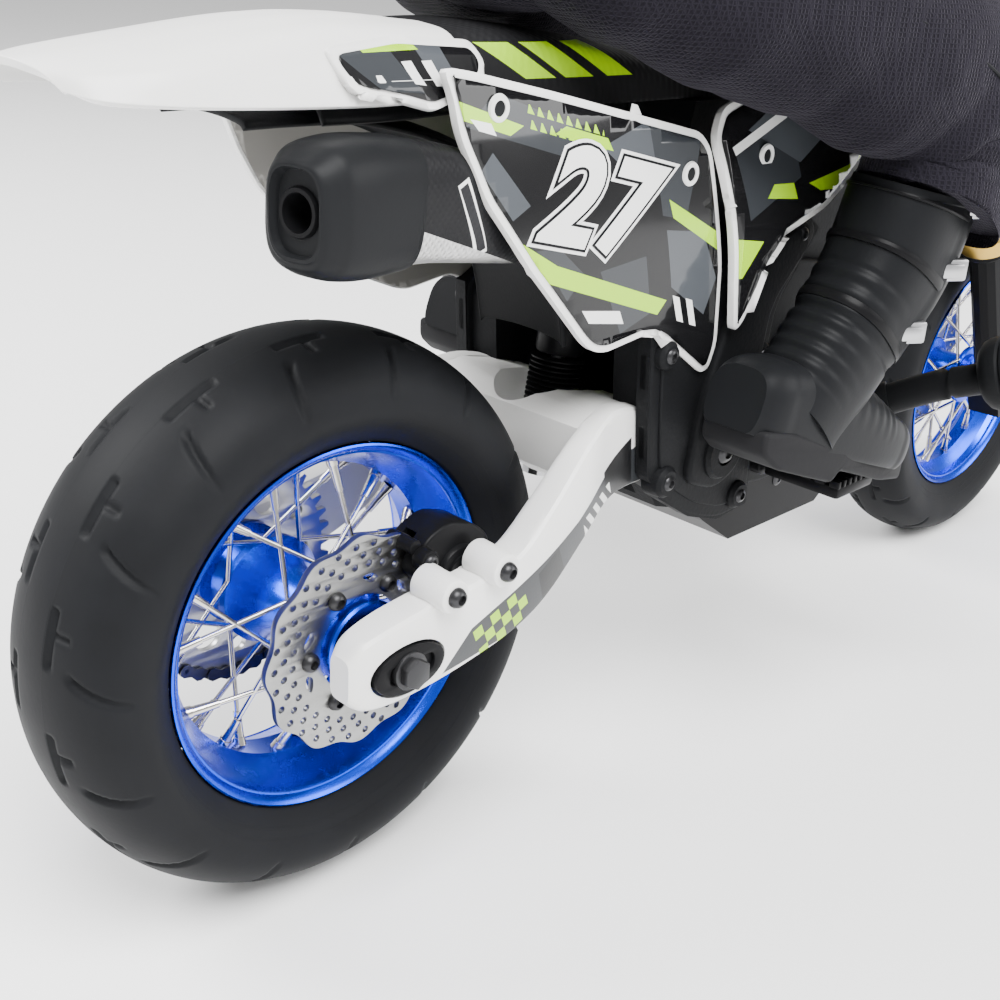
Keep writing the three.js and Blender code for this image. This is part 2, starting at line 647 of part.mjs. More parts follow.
function steeringFrame() {
  const frame = new THREE.Group();
  frame.position.set(STEER_X, 0, STEER_Z);
  frame.rotation.y = -RAKE;
  bike.add(frame);
  return frame;
}

const AXLE_U = (WHEELBASE - STEER_X) * Math.cos(RAKE) + (FRONT_RADIUS - STEER_Z) * Math.sin(RAKE);
const AXLE_W = -(WHEELBASE - STEER_X) * Math.sin(RAKE) + (FRONT_RADIUS - STEER_Z) * Math.cos(RAKE);

function upright(u, y, w0, w1, radius, sides = 16) {
  return rod([u, y, w0], [u, y, w1], radius, sides);
}

function steering(frame) {
  const head = join(upright(0, 0, -22, 15, 8.6, 20), box(-20, -5, -9, 9, -20, 13));
  add('head_tube', cut(head, upright(0, 0, -40, 40, 4.4, 14), box(-60, -15.8, -20, 20, -40, -5)),
    blackAlloy, frame);
  const clampShape = (w0, w1, stemBore) => {
    const web = box(-7, 17, -FORK_HALF_SPAN, FORK_HALF_SPAN, w0, w1);
    const sleeves = [-1, 1].map((s) => upright(FORK_OFFSET, s * FORK_HALF_SPAN, w0, w1, 12.4, 12));
    const bores = [-1, 1].map((s) => upright(
      FORK_OFFSET, s * FORK_HALF_SPAN, w0 - 5, w1 + 5, FORK_OUTER_RADIUS + 3 * GAP, 12));
    return cut(join(web, ...sleeves), ...bores, upright(0, 0, w0 - 5, w1 + 5, stemBore, 14));
  };
  const lowerArm = join(clampShape(-33, -24, 3), box(-LINK_ARM - 3, -6, -3, 3, -33, -30.5),
    upright(0, 0, -33, 23, 4, 14));
  add('lower_clamp', cut(lowerArm, upright(-LINK_ARM, 0, -40, -20, 1.6, 10)), blackAlloy, frame);
  const tube = (s) => cut(
    join(upright(FORK_OFFSET, s * FORK_HALF_SPAN, -84, 30, FORK_OUTER_RADIUS, 14),
      upright(FORK_OFFSET, s * FORK_HALF_SPAN, -86, -76, 10.4, 14)),
    upright(FORK_OFFSET, s * FORK_HALF_SPAN, -90, 24, FORK_INNER_RADIUS + 2 * GAP, 12));
  add('fork_tube_right', tube(-1), goldAlloy, frame);
  add('fork_tube_left', tube(1), goldAlloy, frame);
  const guard = (s) => join(
    skin([AXLE_W + 12, -120, -90.5].map((w) => [-40, 0, 40].map((degrees) => {
      const angle = THREE.MathUtils.degToRad(degrees);
      return [FORK_OFFSET + 12 * Math.cos(angle), s * FORK_HALF_SPAN + 12 * Math.sin(angle), w];
    })), 1.6));
  const slider = (s) => {
    const leg = upright(FORK_OFFSET, s * FORK_HALF_SPAN, AXLE_W + 2, -28, FORK_INNER_RADIUS, 12);
    const shoe = boxLoft([
      [FORK_OFFSET - 7, s * (FORK_HALF_SPAN - 7), s * (FORK_HALF_SPAN + 7), AXLE_W + 16, AXLE_W - 4],
      [AXLE_U - 2, s * (FORK_HALF_SPAN - 7), s * (FORK_HALF_SPAN + 7), AXLE_W + 15, AXLE_W - 9],
      [AXLE_U + 8, s * (FORK_HALF_SPAN - 6), s * (FORK_HALF_SPAN + 6), AXLE_W + 6, AXLE_W - 6],
    ]);
    return cut(join(leg, shoe, guard(s)), barrel(AXLE_U, AXLE_W, -60, 60, AXLE_RADIUS + GAP, 16));
  };
  const caliper = cut(
    box(AXLE_U - 41, AXLE_U - 13, 12, 22, AXLE_W + 4, AXLE_W + 15),
    plate(circle(AXLE_U, AXLE_W, FRONT_DISC_RADIUS + DISC_CLEARANCE, 40), 14, 17));
  const axle = join(
    barrel(AXLE_U, AXLE_W, -35, 35, AXLE_RADIUS, 16),
    barrel(AXLE_U, AXLE_W, -36.6, -33.4, 6, 6), barrel(AXLE_U, AXLE_W, 32, 36.6, 6, 6));
  add('fork_slider_right', slider(-1), blackAlloy, frame);
  add('fork_slider_left', join(slider(1), caliper, axle), blackAlloy, frame);
  const bar = bentRod([
    [-6, -92, 44], [-2, -66, 47], [4, -40, 44], [6, -18, 36], [6, 0, 35.4], [6, 18, 36], [4, 40, 44],
    [-2, 66, 47], [-6, 92, 44],
  ], 2.7, 22, 6);
  const mount = cut(box(0.5, 11.5, -14, 14, 22, 39), upright(0, 0, 15, 30, 4.3, 14));
  add('handlebar', join(bar, mount, clampShape(16, 23, 4.3)), blackAlloy, frame);
  add('front_plate', skin([[44, 17, 25], [30, 26, 26], [0, 27, 29], [-22, 16, 30]].map(
    ([w, half, u]) => [[u, -half, w], [u + 6, 0, w], [u, half, w]]), 2), whitePlastic, frame);
  add('front_fender', skin([
    [-52, -64, 10], [-14, -42, 14], [12, -37.5, 16], [44, -44, 16], [78, -62, 13], [92, -76, 8],
  ].map(([u, w, half]) => [[u, -half, w - 6], [u, 0, w], [u, half, w - 6]]), 2), whitePlastic, frame);
  return frame;
}

function steeringServo(frame) {
  const servoU = -46;
  add('steering_servo', join(box(servoU - 10, servoU + 8, -9.5, 9.5, -29, 0)), blackNylon, frame);
  const horn = cut(join(upright(servoU, 0, -33, -29.4, 5, 14),
    box(servoU - LINK_ARM - 3, servoU, -3, 3, -33, -30.5)),
  upright(servoU - LINK_ARM, 0, -40, -20, 1.6, 10));
  add('servo_horn', horn, whitePlastic, frame);
  const link = join(box(servoU - LINK_ARM, -LINK_ARM, -2, 2, -37.4, -34.6),
    upright(servoU - LINK_ARM, 0, -37.4, -30.6, 1.2, 10), upright(-LINK_ARM, 0, -37.4, -30.6, 1.2, 10));
  add('drag_link', link, steel, frame);
}

// Rider

function rider() {
  const hips = limb([
    [44, 0, 250, 22, 15], [60, 0, 252, 33, 22], [82, 0, 262, 36, 26], [98, 0, 284, 31, 22],
  ], 12);
  const leg = limb([
    [66, -22, 250, 18, 18], [104, -41, 240, 22.5, 26], [142, -57, 230, 21, 27],
    [172, -67, 217, 20.5, 27], [189, -70, 204, 20.5, 26.5], [187, -70, 190, 20, 26],
  ], 12);
  add('rider_trousers', cut(join(hips, leg, mirrored(leg)), seatShape(1), tankShape(1)), fabric);
  const boot = join(
    limb([[183, -60, 178, 15.5, 21], [177, -59.5, 167, 15.5, 20], [165, -58, 148, 15, 18.5],
      [152, -56, 128, 14, 16.5], [145, -54, 112, 13, 15]], 10, 2.6),
    limb([[108, -54, 130, 10, 9.5], [130, -55, 124, 12, 13], [154, -56, 115.5, 13, 13.5],
      [177, -56, 105.5, 12.5, 10.5], [193, -56, 99, 9, 6.5]], 10, 3.4));
  addPair('boot', boot.translate(0, -4, 0), bootPlastic);
  const torso = limb([
    [101, 0, 288, 29, 20], [112, 0, 306, 31, 21], [130, 0, 328, 37, 24], [144, 0, 344, 42, 23],
    [154, 0, 356, 30, 18], [160, 0, 363, 14, 12],
  ], 14, 2.4);
  const head = new THREE.SphereGeometry(1, 10, 7).scale(21, 17, 24).translate(180, 0, 397);
  add('rider_torso', join(torso, head, rod([156, 0, 358], [176, 0, 386], 9, 8)), jersey);
  addPair('rider_arm', limb([
    [150, -46, 345, 13, 14], [166, -64, 334, 13, 13], [190, -86, 314, 11.5, 11.5],
    [212, -92, 296, 10, 10.5], [228, -86, 279, 8.6, 9.4],
  ], 12), jersey);
  const shell = new THREE.SphereGeometry(1, 14, 8).scale(33, 29, 33).translate(181, 0, 399);
  const chin = limb([[196, 0, 384, 20, 13], [212, 0, 381, 17, 12], [222, 0, 380, 10, 9]], 14, 2.6);
  const peak = limb([[196, 0, 424, 20, 4], [222, 0, 425, 18, 2.5], [240, 0, 421, 13, 1.6]], 12, 3);
  const hollow = new THREE.SphereGeometry(1, 10, 7).scale(27, 23, 28.5).translate(181, 0, 397);
  const window = box(205, 260, -18, 18, 390, 409);
  const neck = rod([150, 0, 350], [180, 0, 392], 20, 10);
  add('helmet', cut(join(shell, chin, peak), hollow, window, neck), helmetShell);
}

function gloves(frame) {
  const hold = limb([
    [-20, -86, 51, 9.5, 8.4], [-8, -84, 47, 12, 11], [4, -84, 44, 11, 9.4],
  ], 12, 2.8);
  const grip = bentRod([
    [-6.4, -96, 44], [-6, -92, 44], [-2, -66, 47], [4, -40, 44],
  ], 3.1, 8, 8);
  addPair('glove', cut(hold, grip), fabric, frame);
}

const frame = steeringFrame();
rearWheel();
frontWheel();
rearDrive();
swingarm();
shock();
chassis();
inside();
crashBars();
bodywork();
steering(frame);
steeringServo(frame);
gloves(frame);
rider();

bike.updateMatrixWorld(true);
const extent = new THREE.Box3().setFromObject(bike);
bike.position.set(-(extent.min.x + extent.max.x) / 2, 0, -extent.min.z);

const group = new THREE.Group();
group.add(bike);
export default group;
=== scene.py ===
import json
import math

import bmesh
import bpy
from mathutils import Matrix, Vector, noise


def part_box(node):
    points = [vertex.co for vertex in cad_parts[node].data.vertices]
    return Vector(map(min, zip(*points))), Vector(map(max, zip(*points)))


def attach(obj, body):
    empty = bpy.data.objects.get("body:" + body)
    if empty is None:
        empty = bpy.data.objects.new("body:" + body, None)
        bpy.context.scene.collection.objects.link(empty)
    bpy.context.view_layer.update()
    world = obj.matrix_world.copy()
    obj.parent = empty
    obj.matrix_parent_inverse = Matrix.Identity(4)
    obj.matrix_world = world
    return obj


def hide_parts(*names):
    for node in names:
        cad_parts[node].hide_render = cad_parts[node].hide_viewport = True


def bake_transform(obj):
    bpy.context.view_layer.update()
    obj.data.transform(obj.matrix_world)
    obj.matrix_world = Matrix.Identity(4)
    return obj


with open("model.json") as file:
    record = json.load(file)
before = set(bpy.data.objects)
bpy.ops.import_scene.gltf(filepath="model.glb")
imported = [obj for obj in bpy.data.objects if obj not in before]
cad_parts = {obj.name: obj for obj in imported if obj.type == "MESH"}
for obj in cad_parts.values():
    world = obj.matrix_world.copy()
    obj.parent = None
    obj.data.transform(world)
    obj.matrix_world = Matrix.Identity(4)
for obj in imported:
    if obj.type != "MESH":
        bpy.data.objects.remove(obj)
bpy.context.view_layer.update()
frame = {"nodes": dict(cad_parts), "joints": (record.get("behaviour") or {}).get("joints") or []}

MM = 0.001
TURN = 2 * math.pi

JOINTS = {joint["name"]: joint for joint in frame["joints"]}


def joint_point(name):
    """A joint's place in millimetres, with X counted from the rear axle."""
    point = Vector(JOINTS[name]["pos_m"]) / MM
    return point - Vector((REAR_AXLE_X, 0, 0))


REAR_AXLE_X = JOINTS["rear_wheel_spin"]["pos_m"][0] / MM
BIKE = Matrix.Scale(MM, 4) @ Matrix.Translation((REAR_AXLE_X, 0, 0))
REAR_AXLE = joint_point("rear_wheel_spin")
FRONT_AXLE = joint_point("front_wheel_spin")
PIVOT = joint_point("swingarm_pivot")
STEERING = joint_point("steering")
SHOCK_TOP = joint_point("shock_swing")
RAKE = math.atan2(-JOINTS["steering"]["axis"][0], JOINTS["steering"]["axis"][2])
FORK = BIKE @ Matrix.Translation(STEERING) @ Matrix.Rotation(-RAKE, 4, "Y")


# Camera, floor and light

CAMERA_AT = (-194.76, -256.47, 246.66)
CAMERA_YAW = math.radians(43.36)
CAMERA_DROP = math.radians(23.08)
CAMERA_ROLL = math.radians(3.48)
CAMERA_LENS = 47.86


def add_camera():
    data = bpy.data.cameras.new("camera")
    data.lens = CAMERA_LENS
    data.sensor_width = 36
    data.clip_start = 0.01
    camera = bpy.data.objects.new("camera", data)
    bpy.context.scene.collection.objects.link(camera)
    ahead = Vector((
        math.cos(CAMERA_YAW) * math.cos(CAMERA_DROP),
        math.sin(CAMERA_YAW) * math.cos(CAMERA_DROP),
        -math.sin(CAMERA_DROP)))
    level_right = ahead.cross(Vector((0, 0, 1))).normalized()
    level_up = level_right.cross(ahead)
    right = level_right * math.cos(CAMERA_ROLL) + level_up * math.sin(CAMERA_ROLL)
    up = level_up * math.cos(CAMERA_ROLL) - level_right * math.sin(CAMERA_ROLL)
    turn = Matrix((right, up, -ahead)).transposed().to_4x4()
    camera.matrix_world = Matrix.Translation(BIKE @ Vector(CAMERA_AT)) @ turn
    bpy.context.scene.camera = camera


def add_light(name, place, target, size, power):
    data = bpy.data.lights.new(name, "AREA")
    data.shape = "DISK"
    data.size = size
    data.energy = power
    lamp = bpy.data.objects.new(name, data)
    bpy.context.scene.collection.objects.link(lamp)
    lamp.location = place
    lamp.rotation_euler = (Vector(target) - Vector(place)).to_track_quat("-Z", "Y").to_euler()


def add_studio():
    bm = bmesh.new()
    bmesh.ops.create_grid(bm, x_segments=1, y_segments=1, size=6)
    mesh = bpy.data.meshes.new("floor")
    bm.to_mesh(mesh)
    bm.free()
    floor = bpy.data.objects.new("floor", mesh)
    bpy.context.scene.collection.objects.link(floor)
    finish = Finish("floor", (0.93, 0.93, 0.93), 0.6)
    mesh.materials.append(finish.material)
    world = bpy.data.worlds.new("studio")
    bpy.context.scene.world = world
    world.use_nodes = True
    background = world.node_tree.nodes["Background"]
    background.inputs["Color"].default_value = (1, 1, 1, 1)
    background.inputs["Strength"].default_value = 0.8
    add_light("key", (-0.5, -0.8, 1.7), (0, 0, 0.12), 1.3, 92)
    add_light("rim", (-0.9, 1.1, 1.2), (0, 0, 0.15), 1.0, 52)
    add_light("fill", (1.0, -1.2, 0.8), (0, 0, 0.15), 1.0, 20)


# Materials

class Value:
    """A shader socket that takes part in ordinary arithmetic."""

    def __init__(self, finish, socket):
        self.finish = finish
        self.socket = socket

    def math(self, operation, *others):
        return self.finish.math(operation, self, *others)

    def __add__(self, other):
        return self.math("ADD", other)

    def __radd__(self, other):
        return self.math("ADD", other)

    def __sub__(self, other):
        return self.math("SUBTRACT", other)

    def __rsub__(self, other):
        return self.finish.math("SUBTRACT", other, self)

    def __mul__(self, other):
        return self.math("MULTIPLY", other)

    def __rmul__(self, other):
        return self.math("MULTIPLY", other)

    def __truediv__(self, other):
        return self.math("DIVIDE", other)

    def __abs__(self):
        return self.math("ABSOLUTE")

    def above(self, limit):
        return self.math("GREATER_THAN", limit)

    def below(self, limit):
        return self.math("LESS_THAN", limit)

    def sine(self):
        return self.math("SINE")

    def most(self, other):
        return self.math("MAXIMUM", other)

    def least(self, other):
        return self.math("MINIMUM", other)


class Finish:
    """A procedural material. Its coordinates are millimetres, with X counted from the rear axle."""

    def __init__(self, name, color, roughness, metallic=0.0, **fixed):
        self.material = bpy.data.materials.new(name)
        self.material.use_nodes = True
        self.tree = self.material.node_tree
        self.shader = self.tree.nodes["Principled BSDF"]
        self.color = (*color, 1)
        self.shader.inputs["Base Color"].default_value = self.color
        self.shader.inputs["Roughness"].default_value = roughness
        self.shader.inputs["Metallic"].default_value = metallic
        if max(color) < 0.1 and not metallic:
            self.shader.inputs["Specular IOR Level"].default_value = 0.07
        for key, value in fixed.items():
            self.shader.inputs[key.replace("_", " ")].default_value = value

    def node(self, kind, settings=None, inputs=None):
        made = self.tree.nodes.new(kind)
        for key, value in (settings or {}).items():
            setattr(made, key, value)
        for key, value in (inputs or {}).items():
            self.connect(value, made.inputs[key])
        return made

    def connect(self, value, socket):
        if isinstance(value, Value):
            self.tree.links.new(value.socket, socket)
        elif isinstance(value, bpy.types.NodeSocket):
            self.tree.links.new(value, socket)
        else:
            socket.default_value = value

    def math(self, operation, *values):
        made = self.node("ShaderNodeMath", {"operation": operation}, dict(enumerate(values)))
        return Value(self, made.outputs[0])

    def place(self):
        """The point on the surface as X, Y and Z values in millimetres."""
        where = self.node("ShaderNodeTexCoord").outputs["Object"]
        split = self.node("ShaderNodeSeparateXYZ", inputs={0: where})
        x, y, z = (Value(self, split.outputs[i]) * (1 / MM) for i in range(3))
        return x - REAR_AXLE_X, y, z

    def noise(self, scale, detail=3.0, roughness=0.5):
        where = self.node("ShaderNodeTexCoord").outputs["Object"]
        made = self.node("ShaderNodeTexNoise", inputs={
            "Vector": where, "Scale": scale, "Detail": detail, "Roughness": roughness})
        return Value(self, made.outputs[0])

    def mix(self, amount, first, second):
        def color(value):
            return (*value, 1) if isinstance(value, tuple) and len(value) == 3 else value
        made = self.node("ShaderNodeMix", {"data_type": "RGBA"}, {
            0: amount, 6: color(first), 7: color(second)})
        return made.outputs[2]

    def paint(self, color):
        self.connect(color, self.shader.inputs["Base Color"])

    def set(self, name, value):
        self.connect(value, self.shader.inputs[name])

    def bump(self, height, depth):
        """Raises the surface by the height times the depth in millimetres."""
        made = self.node("ShaderNodeBump", inputs={
            "Height": height, "Distance": depth * MM, "Strength": 1.0})
        self.tree.links.new(made.outputs[0], self.shader.inputs["Normal"])

    def polygon(self, u, v, points):
        """One inside a convex outline of (u, v) points in anticlockwise order, and zero outside."""
        mask = None
        for (u0, v0), (u1, v1) in zip(points, points[1:] + points[:1]):
            side = ((v - v0) * (u1 - u0) - (u - u0) * (v1 - v0)).above(0)
            mask = side if mask is None else mask * side
        return mask


def mottled(name, color, roughness, metallic=0.0, grain=900.0, depth=0.03, vary=0.12, spread=0.08,
            **fixed):
    """A finish whose tone and gloss drift gently and whose surface has a fine grain."""
    finish = Finish(name, color, roughness, metallic, **fixed)
    drift = finish.noise(28.0, 4.0)
    dark = tuple(c * (1 - vary) for c in color)
    light = tuple(min(1.0, c * (1 + vary)) for c in color)
    finish.paint(finish.mix(drift, dark, light))
    finish.set("Roughness", drift * spread + (roughness - spread / 2))
    finish.bump(finish.noise(grain, 2.0), depth)
    return finish


def rubber_finish(axle, radius):
    """Tyre rubber with moulding lines on the crown and rings on the side wall."""
    finish = Finish(f"rubber_{int(axle.x)}", (0.011, 0.0115, 0.013), 0.6)
    x, y, z = finish.place()
    reach = ((x - axle.x) * (x - axle.x) + (z - axle.z) * (z - axle.z)).math("SQRT")
    seam = abs(abs(y) - 5.6).below(0.22) * reach.above(radius - 5)
    rings = (abs(reach - 55.2).below(0.3)).most(abs(reach - 57.6).below(0.25))
    dust = finish.noise(60.0, 5.0)
    finish.paint(finish.mix(dust, (0.0058, 0.0061, 0.0068), (0.011, 0.0115, 0.013)))
    finish.set("Roughness", dust * 0.2 + 0.46)
    finish.bump(finish.noise(700.0, 3.0) * 0.25 + seam * 0.8 + rings, 0.12)
    return finish


def anodised_finish(name, color, roughness):
    finish = Finish(name, color, roughness, 1.0)
    drift = finish.noise(22.0, 3.0)
    finish.paint(finish.mix(drift, tuple(c * 0.8 for c in color), tuple(min(1, c * 1.15) for c in color)))
    finish.set("Roughness", finish.noise(240.0, 4.0) * 0.12 + (roughness - 0.06))
    finish.bump(finish.noise(2600.0, 2.0), 0.006)
    return finish


def disc_finish(axle):
    """Ground steel with fine rings about the axle."""
    finish = Finish(f"ground_steel_{int(axle.x)}", (0.62, 0.62, 0.61), 0.34, 1.0)
    x, _, z = finish.place()
    reach = ((x - axle.x) * (x - axle.x) + (z - axle.z) * (z - axle.z)).math("SQRT")
    rings = (reach * 9.0).sine() * 0.5 + (reach * 23.0).sine() * 0.5
    finish.paint(finish.mix(finish.noise(90.0, 4.0), (0.2, 0.2, 0.197), (0.42, 0.42, 0.41)))
    finish.set("Roughness", finish.noise(150.0, 3.0) * 0.16 + 0.27)
    finish.bump(rings, 0.008)
    return finish


def knit_finish(name, color):
    """Stretch knit: a honeycomb of small pits with a soft sheen. The pits are painted darker as shade and the cell
    walls lighter as if lit.
    """
    finish = Finish(name, color, 0.85, Sheen_Weight=0.08, Sheen_Roughness=0.4)
    finish.shader.inputs["Sheen Tint"].default_value = (0.7, 0.66, 0.78, 1)
    where = finish.node("ShaderNodeTexCoord").outputs["Object"]
    cells = finish.node("ShaderNodeTexVoronoi", {"feature": "DISTANCE_TO_EDGE"}, {
        "Vector": where, "Scale": 820.0, "Randomness": 0.25})
    wall = Value(finish, cells.outputs[0]).least(0.3)
    # painted shade and light: the colour darkens with the pit depth, and the cell walls are painted lighter as lit
    # ridges
    tone = wall * 2.2
    finish.paint(finish.mix(tone, tuple(c * 1.7 for c in color), tuple(c * 0.55 for c in color)))
    finish.set("Roughness", finish.noise(200.0, 2.0) * 0.15 + 0.75)
    finish.bump(wall * -2.4 + finish.noise(1400.0, 2.0) * 0.2, 0.3)
    return finish


BLACK = (0.006, 0.006, 0.0066)
NEON = (0.36, 0.66, 0.0)
WHITE = (0.8, 0.8, 0.79)


def scattered(finish, u, v, shapes, base):
    """Paints flat outlines over a base colour, each with its own colour, in order."""
    color = base
    for tone, points in shapes:
        color = finish.mix(finish.polygon(u, v, points), color, tone)
    return color


def make_finishes():
    made = {
        "black_nylon": mottled("black_nylon", (0.008, 0.0084, 0.0092), 0.52, grain=1500.0, depth=0.06),
        "smooth_black": mottled("smooth_black", (0.006, 0.006, 0.0066), 0.34, grain=700.0, depth=0.012),
        "cap_black": mottled("cap_black", (0.0105, 0.011, 0.012), 0.42, grain=1100.0, depth=0.02),
        "white": mottled("white_plastic", (0.78, 0.775, 0.76), 0.38, grain=1300.0, depth=0.02,
                         vary=0.03, Coat_Weight=0.1),
        "blue": anodised_finish("blue_anodised", (0.006, 0.06, 0.78), 0.26),
        "gold": anodised_finish("gold_anodised", (0.62, 0.4, 0.09), 0.3),
        "chrome": anodised_finish("spoke_chrome", (0.6, 0.58, 0.54), 0.2),
        "steel": mottled("satin_steel", (0.45, 0.45, 0.46), 0.34, 1.0, grain=500.0, depth=0.01),
        "dark_steel": mottled("oiled_steel", (0.1, 0.1, 0.105), 0.32, 1.0, grain=500.0, depth=0.02),
        "screw": mottled("blackened_screw", (0.03, 0.03, 0.032), 0.36, 0.7, grain=900.0, depth=0.02),
        "neon": mottled("neon_print", NEON, 0.3, grain=900.0, depth=0.01, vary=0.04),
        "knit": knit_finish("knit_cloth", (0.009, 0.008, 0.011)),
        "jersey": knit_finish("jersey_cloth", (0.03, 0.032, 0.038)),
        "boot": mottled("boot_moulding", (0.0078, 0.0082, 0.0092), 0.42, grain=650.0, depth=0.03),
        # painted shade: a greyish tan that stands for the inner face of the white plastic seen in shadow
        "lining": mottled("painted_inner_shade", (0.3, 0.29, 0.27), 0.42, 0.5, grain=60.0, depth=0.02),
        "sole": mottled("sole_edge", (0.012, 0.012, 0.013), 0.6, grain=500.0, depth=0.05),
        "skin": mottled("figure_face", (0.46, 0.27, 0.18), 0.5, grain=400.0, depth=0.01, vary=0.05),
        "lens": Finish("goggle_lens", (0.02, 0.03, 0.05), 0.06, Coat_Weight=1.0),
        "rear_rubber": rubber_finish(REAR_AXLE, REAR_AXLE.z),
        "front_rubber": rubber_finish(FRONT_AXLE, FRONT_AXLE.z),
        "rear_disc": disc_finish(REAR_AXLE),
        "front_disc": disc_finish(FRONT_AXLE),
        "plate_white": mottled("print_white", WHITE, 0.25, grain=900.0, depth=0.005, vary=0.02),
        "print_black": mottled("print_black", (0.01, 0.01, 0.011), 0.18, grain=500.0, depth=0.005),
    }
    lens = made["lens"]
    lens.paint(lens.mix(lens.noise(30.0), (0.02, 0.03, 0.05), (0.08, 0.05, 0.02)))
    return made


# Mesh helpers. Shapes are made in millimetres and placed once they are whole.

def sharpen(bm, angle):
    for face in bm.faces:
        face.smooth = True
    for edge in bm.edges:
        if len(edge.link_faces) == 2 and edge.calc_face_angle(0) > math.radians(angle):
            edge.smooth = False


def piece(bm, name, body, finish, stands_for=(), place=BIKE, sharp=38, bevel=0.0,
          levels=0, wall=0.0, merge=True):
    """Turns a bmesh into a finished piece that rides on a body."""
    if merge:
        bmesh.ops.remove_doubles(bm, verts=bm.verts, dist=1e-3)
        bmesh.ops.recalc_face_normals(bm, faces=bm.faces)
    sharpen(bm, sharp)
    mesh = bpy.data.meshes.new(name)
    bm.to_mesh(mesh)
    bm.free()
    mesh.transform(place)
    made = bpy.data.objects.new(name, mesh)
    bpy.context.scene.collection.objects.link(made)
    mesh.materials.append(FINISHES[finish].material if isinstance(finish, str) else finish.material)
    if wall:
        thick = made.modifiers.new("wall", "SOLIDIFY")
        thick.thickness = abs(wall) * MM
        thick.offset = -1 if wall > 0 else 1
    if levels:
        round_off = made.modifiers.new("round", "SUBSURF")
        round_off.levels = levels
        round_off.render_levels = levels
    if bevel:
        edge = made.modifiers.new("edge", "BEVEL")
        edge.width = bevel * MM
        edge.segments = 2
        edge.limit_method = "ANGLE"
        edge.angle_limit = math.radians(35)
    if body:
        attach(made, body)
    if stands_for:
        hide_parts(*stands_for)
    return made


def join(*meshes):
    """Several bmeshes as one."""
    whole = meshes[0]
    for other in meshes[1:]:
        loose = bpy.data.meshes.new("loose")
        other.to_mesh(loose)
        other.free()
        whole.from_mesh(loose)
        bpy.data.meshes.remove(loose)
    return whole


def flip(bm):
    """Mirrors a shape across the bike's middle plane."""
    bmesh.ops.scale(bm, vec=(1, -1, 1), verts=bm.verts)
    bmesh.ops.reverse_faces(bm, faces=bm.faces)
    return bm


def block(low, high, bevel=0.0, segments=2):
    bm = bmesh.new()
    size = Vector(high) - Vector(low)
    middle = (Vector(high) + Vector(low)) / 2
    bmesh.ops.create_cube(bm, size=1, matrix=Matrix.Translation(middle) @ Matrix.Diagonal((*size, 1)))
    soften(bm, bevel, segments)
    return bm


def soften(bm, width, segments=2, angle=30):
    if width:
        edges = [e for e in bm.edges
                 if len(e.link_faces) == 2 and e.calc_face_angle(0) > math.radians(angle)]
        bmesh.ops.bevel(bm, geom=edges, offset=width, offset_type="OFFSET", segments=segments,
                        profile=0.5, affect="EDGES", material=-1, clamp_overlap=True)


def rod(start, end, radius, far_radius=None, segments=24, bevel=0.0):
    """A round bar or cone between two points."""
    bm = bmesh.new()
    a, b = Vector(start), Vector(end)
    along = b - a
    turn = along.to_track_quat("Z", "Y").to_matrix().to_4x4()
    bmesh.ops.create_cone(
        bm, cap_ends=True, segments=segments, radius1=radius,
        radius2=radius if far_radius is None else far_radius, depth=along.length,
        matrix=Matrix.Translation((a + b) / 2) @ turn)
    soften(bm, bevel)
    return bm


def lathe(profile, axle=(0, 0, 0), steps=96, closed=True):
    """Spins (radius, y) points about the Y line through the axle."""
    bm = bmesh.new()
    verts = [bm.verts.new((axle[0] + r, axle[1] + y, axle[2])) for r, y in profile]
    edges = [bm.edges.new(pair) for pair in zip(verts, verts[1:])]
    if closed:
        edges.append(bm.edges.new((verts[-1], verts[0])))
    bmesh.ops.spin(bm, geom=verts + edges, cent=axle, axis=(0, 1, 0), angle=TURN, steps=steps,
                   use_merge=True, dvec=(0, 0, 0), use_duplicate=False)
    bmesh.ops.remove_doubles(bm, verts=bm.verts, dist=1e-3)
    bmesh.ops.recalc_face_normals(bm, faces=bm.faces)
    return bm


def flat(outlines, y0, y1, edge=0.0, resolution=1):
    """A plate between two Y planes from (x, z) outlines, the first outside and the rest holes."""
    curve = bpy.data.curves.new("outline", "CURVE")
    curve.dimensions = "2D"
    curve.fill_mode = "BOTH"
    curve.extrude = abs(y1 - y0) / 2 - edge
    curve.bevel_depth = edge
    curve.bevel_resolution = resolution
    curve.offset = -edge
    for points in outlines:
        spline = curve.splines.new("POLY")
        spline.points.add(len(points) - 1)
        for point, (x, z) in zip(spline.points, points):
            point.co = (x, z, 0, 1)
        spline.use_cyclic_u = True
    holder = bpy.data.objects.new("outline", curve)
    mesh = bpy.data.meshes.new_from_object(holder)
    bpy.data.objects.remove(holder)
    bpy.data.curves.remove(curve)
    bm = bmesh.new()
    bm.from_mesh(mesh)
    bpy.data.meshes.remove(mesh)
    upright = Matrix.Translation((0, (y0 + y1) / 2, 0)) @ Matrix.Rotation(math.pi / 2, 4, "X")
    bmesh.ops.transform(bm, matrix=upright, verts=bm.verts)
    bmesh.ops.remove_doubles(bm, verts=bm.verts, dist=1e-3)
    return bm


def rounded(points, radius, steps=5):
    """An outline with each corner rounded off."""
    out = []
    for i, corner in enumerate(points):
        here = Vector(corner)
        before, after = Vector(points[i - 1]), Vector(points[(i + 1) % len(points)])
        reach = min(radius, (before - here).length * 0.45, (after - here).length * 0.45)
        a = here + (before - here).normalized() * reach
        b = here + (after - here).normalized() * reach
        for k in range(steps + 1):
            t = k / steps
            out.append(tuple(a * (1 - t) ** 2 + here * 2 * t * (1 - t) + b * t ** 2))
    return out


def circle(x, z, radius, count=24, phase=0.0):
    return [(x + radius * math.cos(phase + TURN * i / count), z + radius * math.sin(phase + TURN * i / count))
            for i in range(count)]


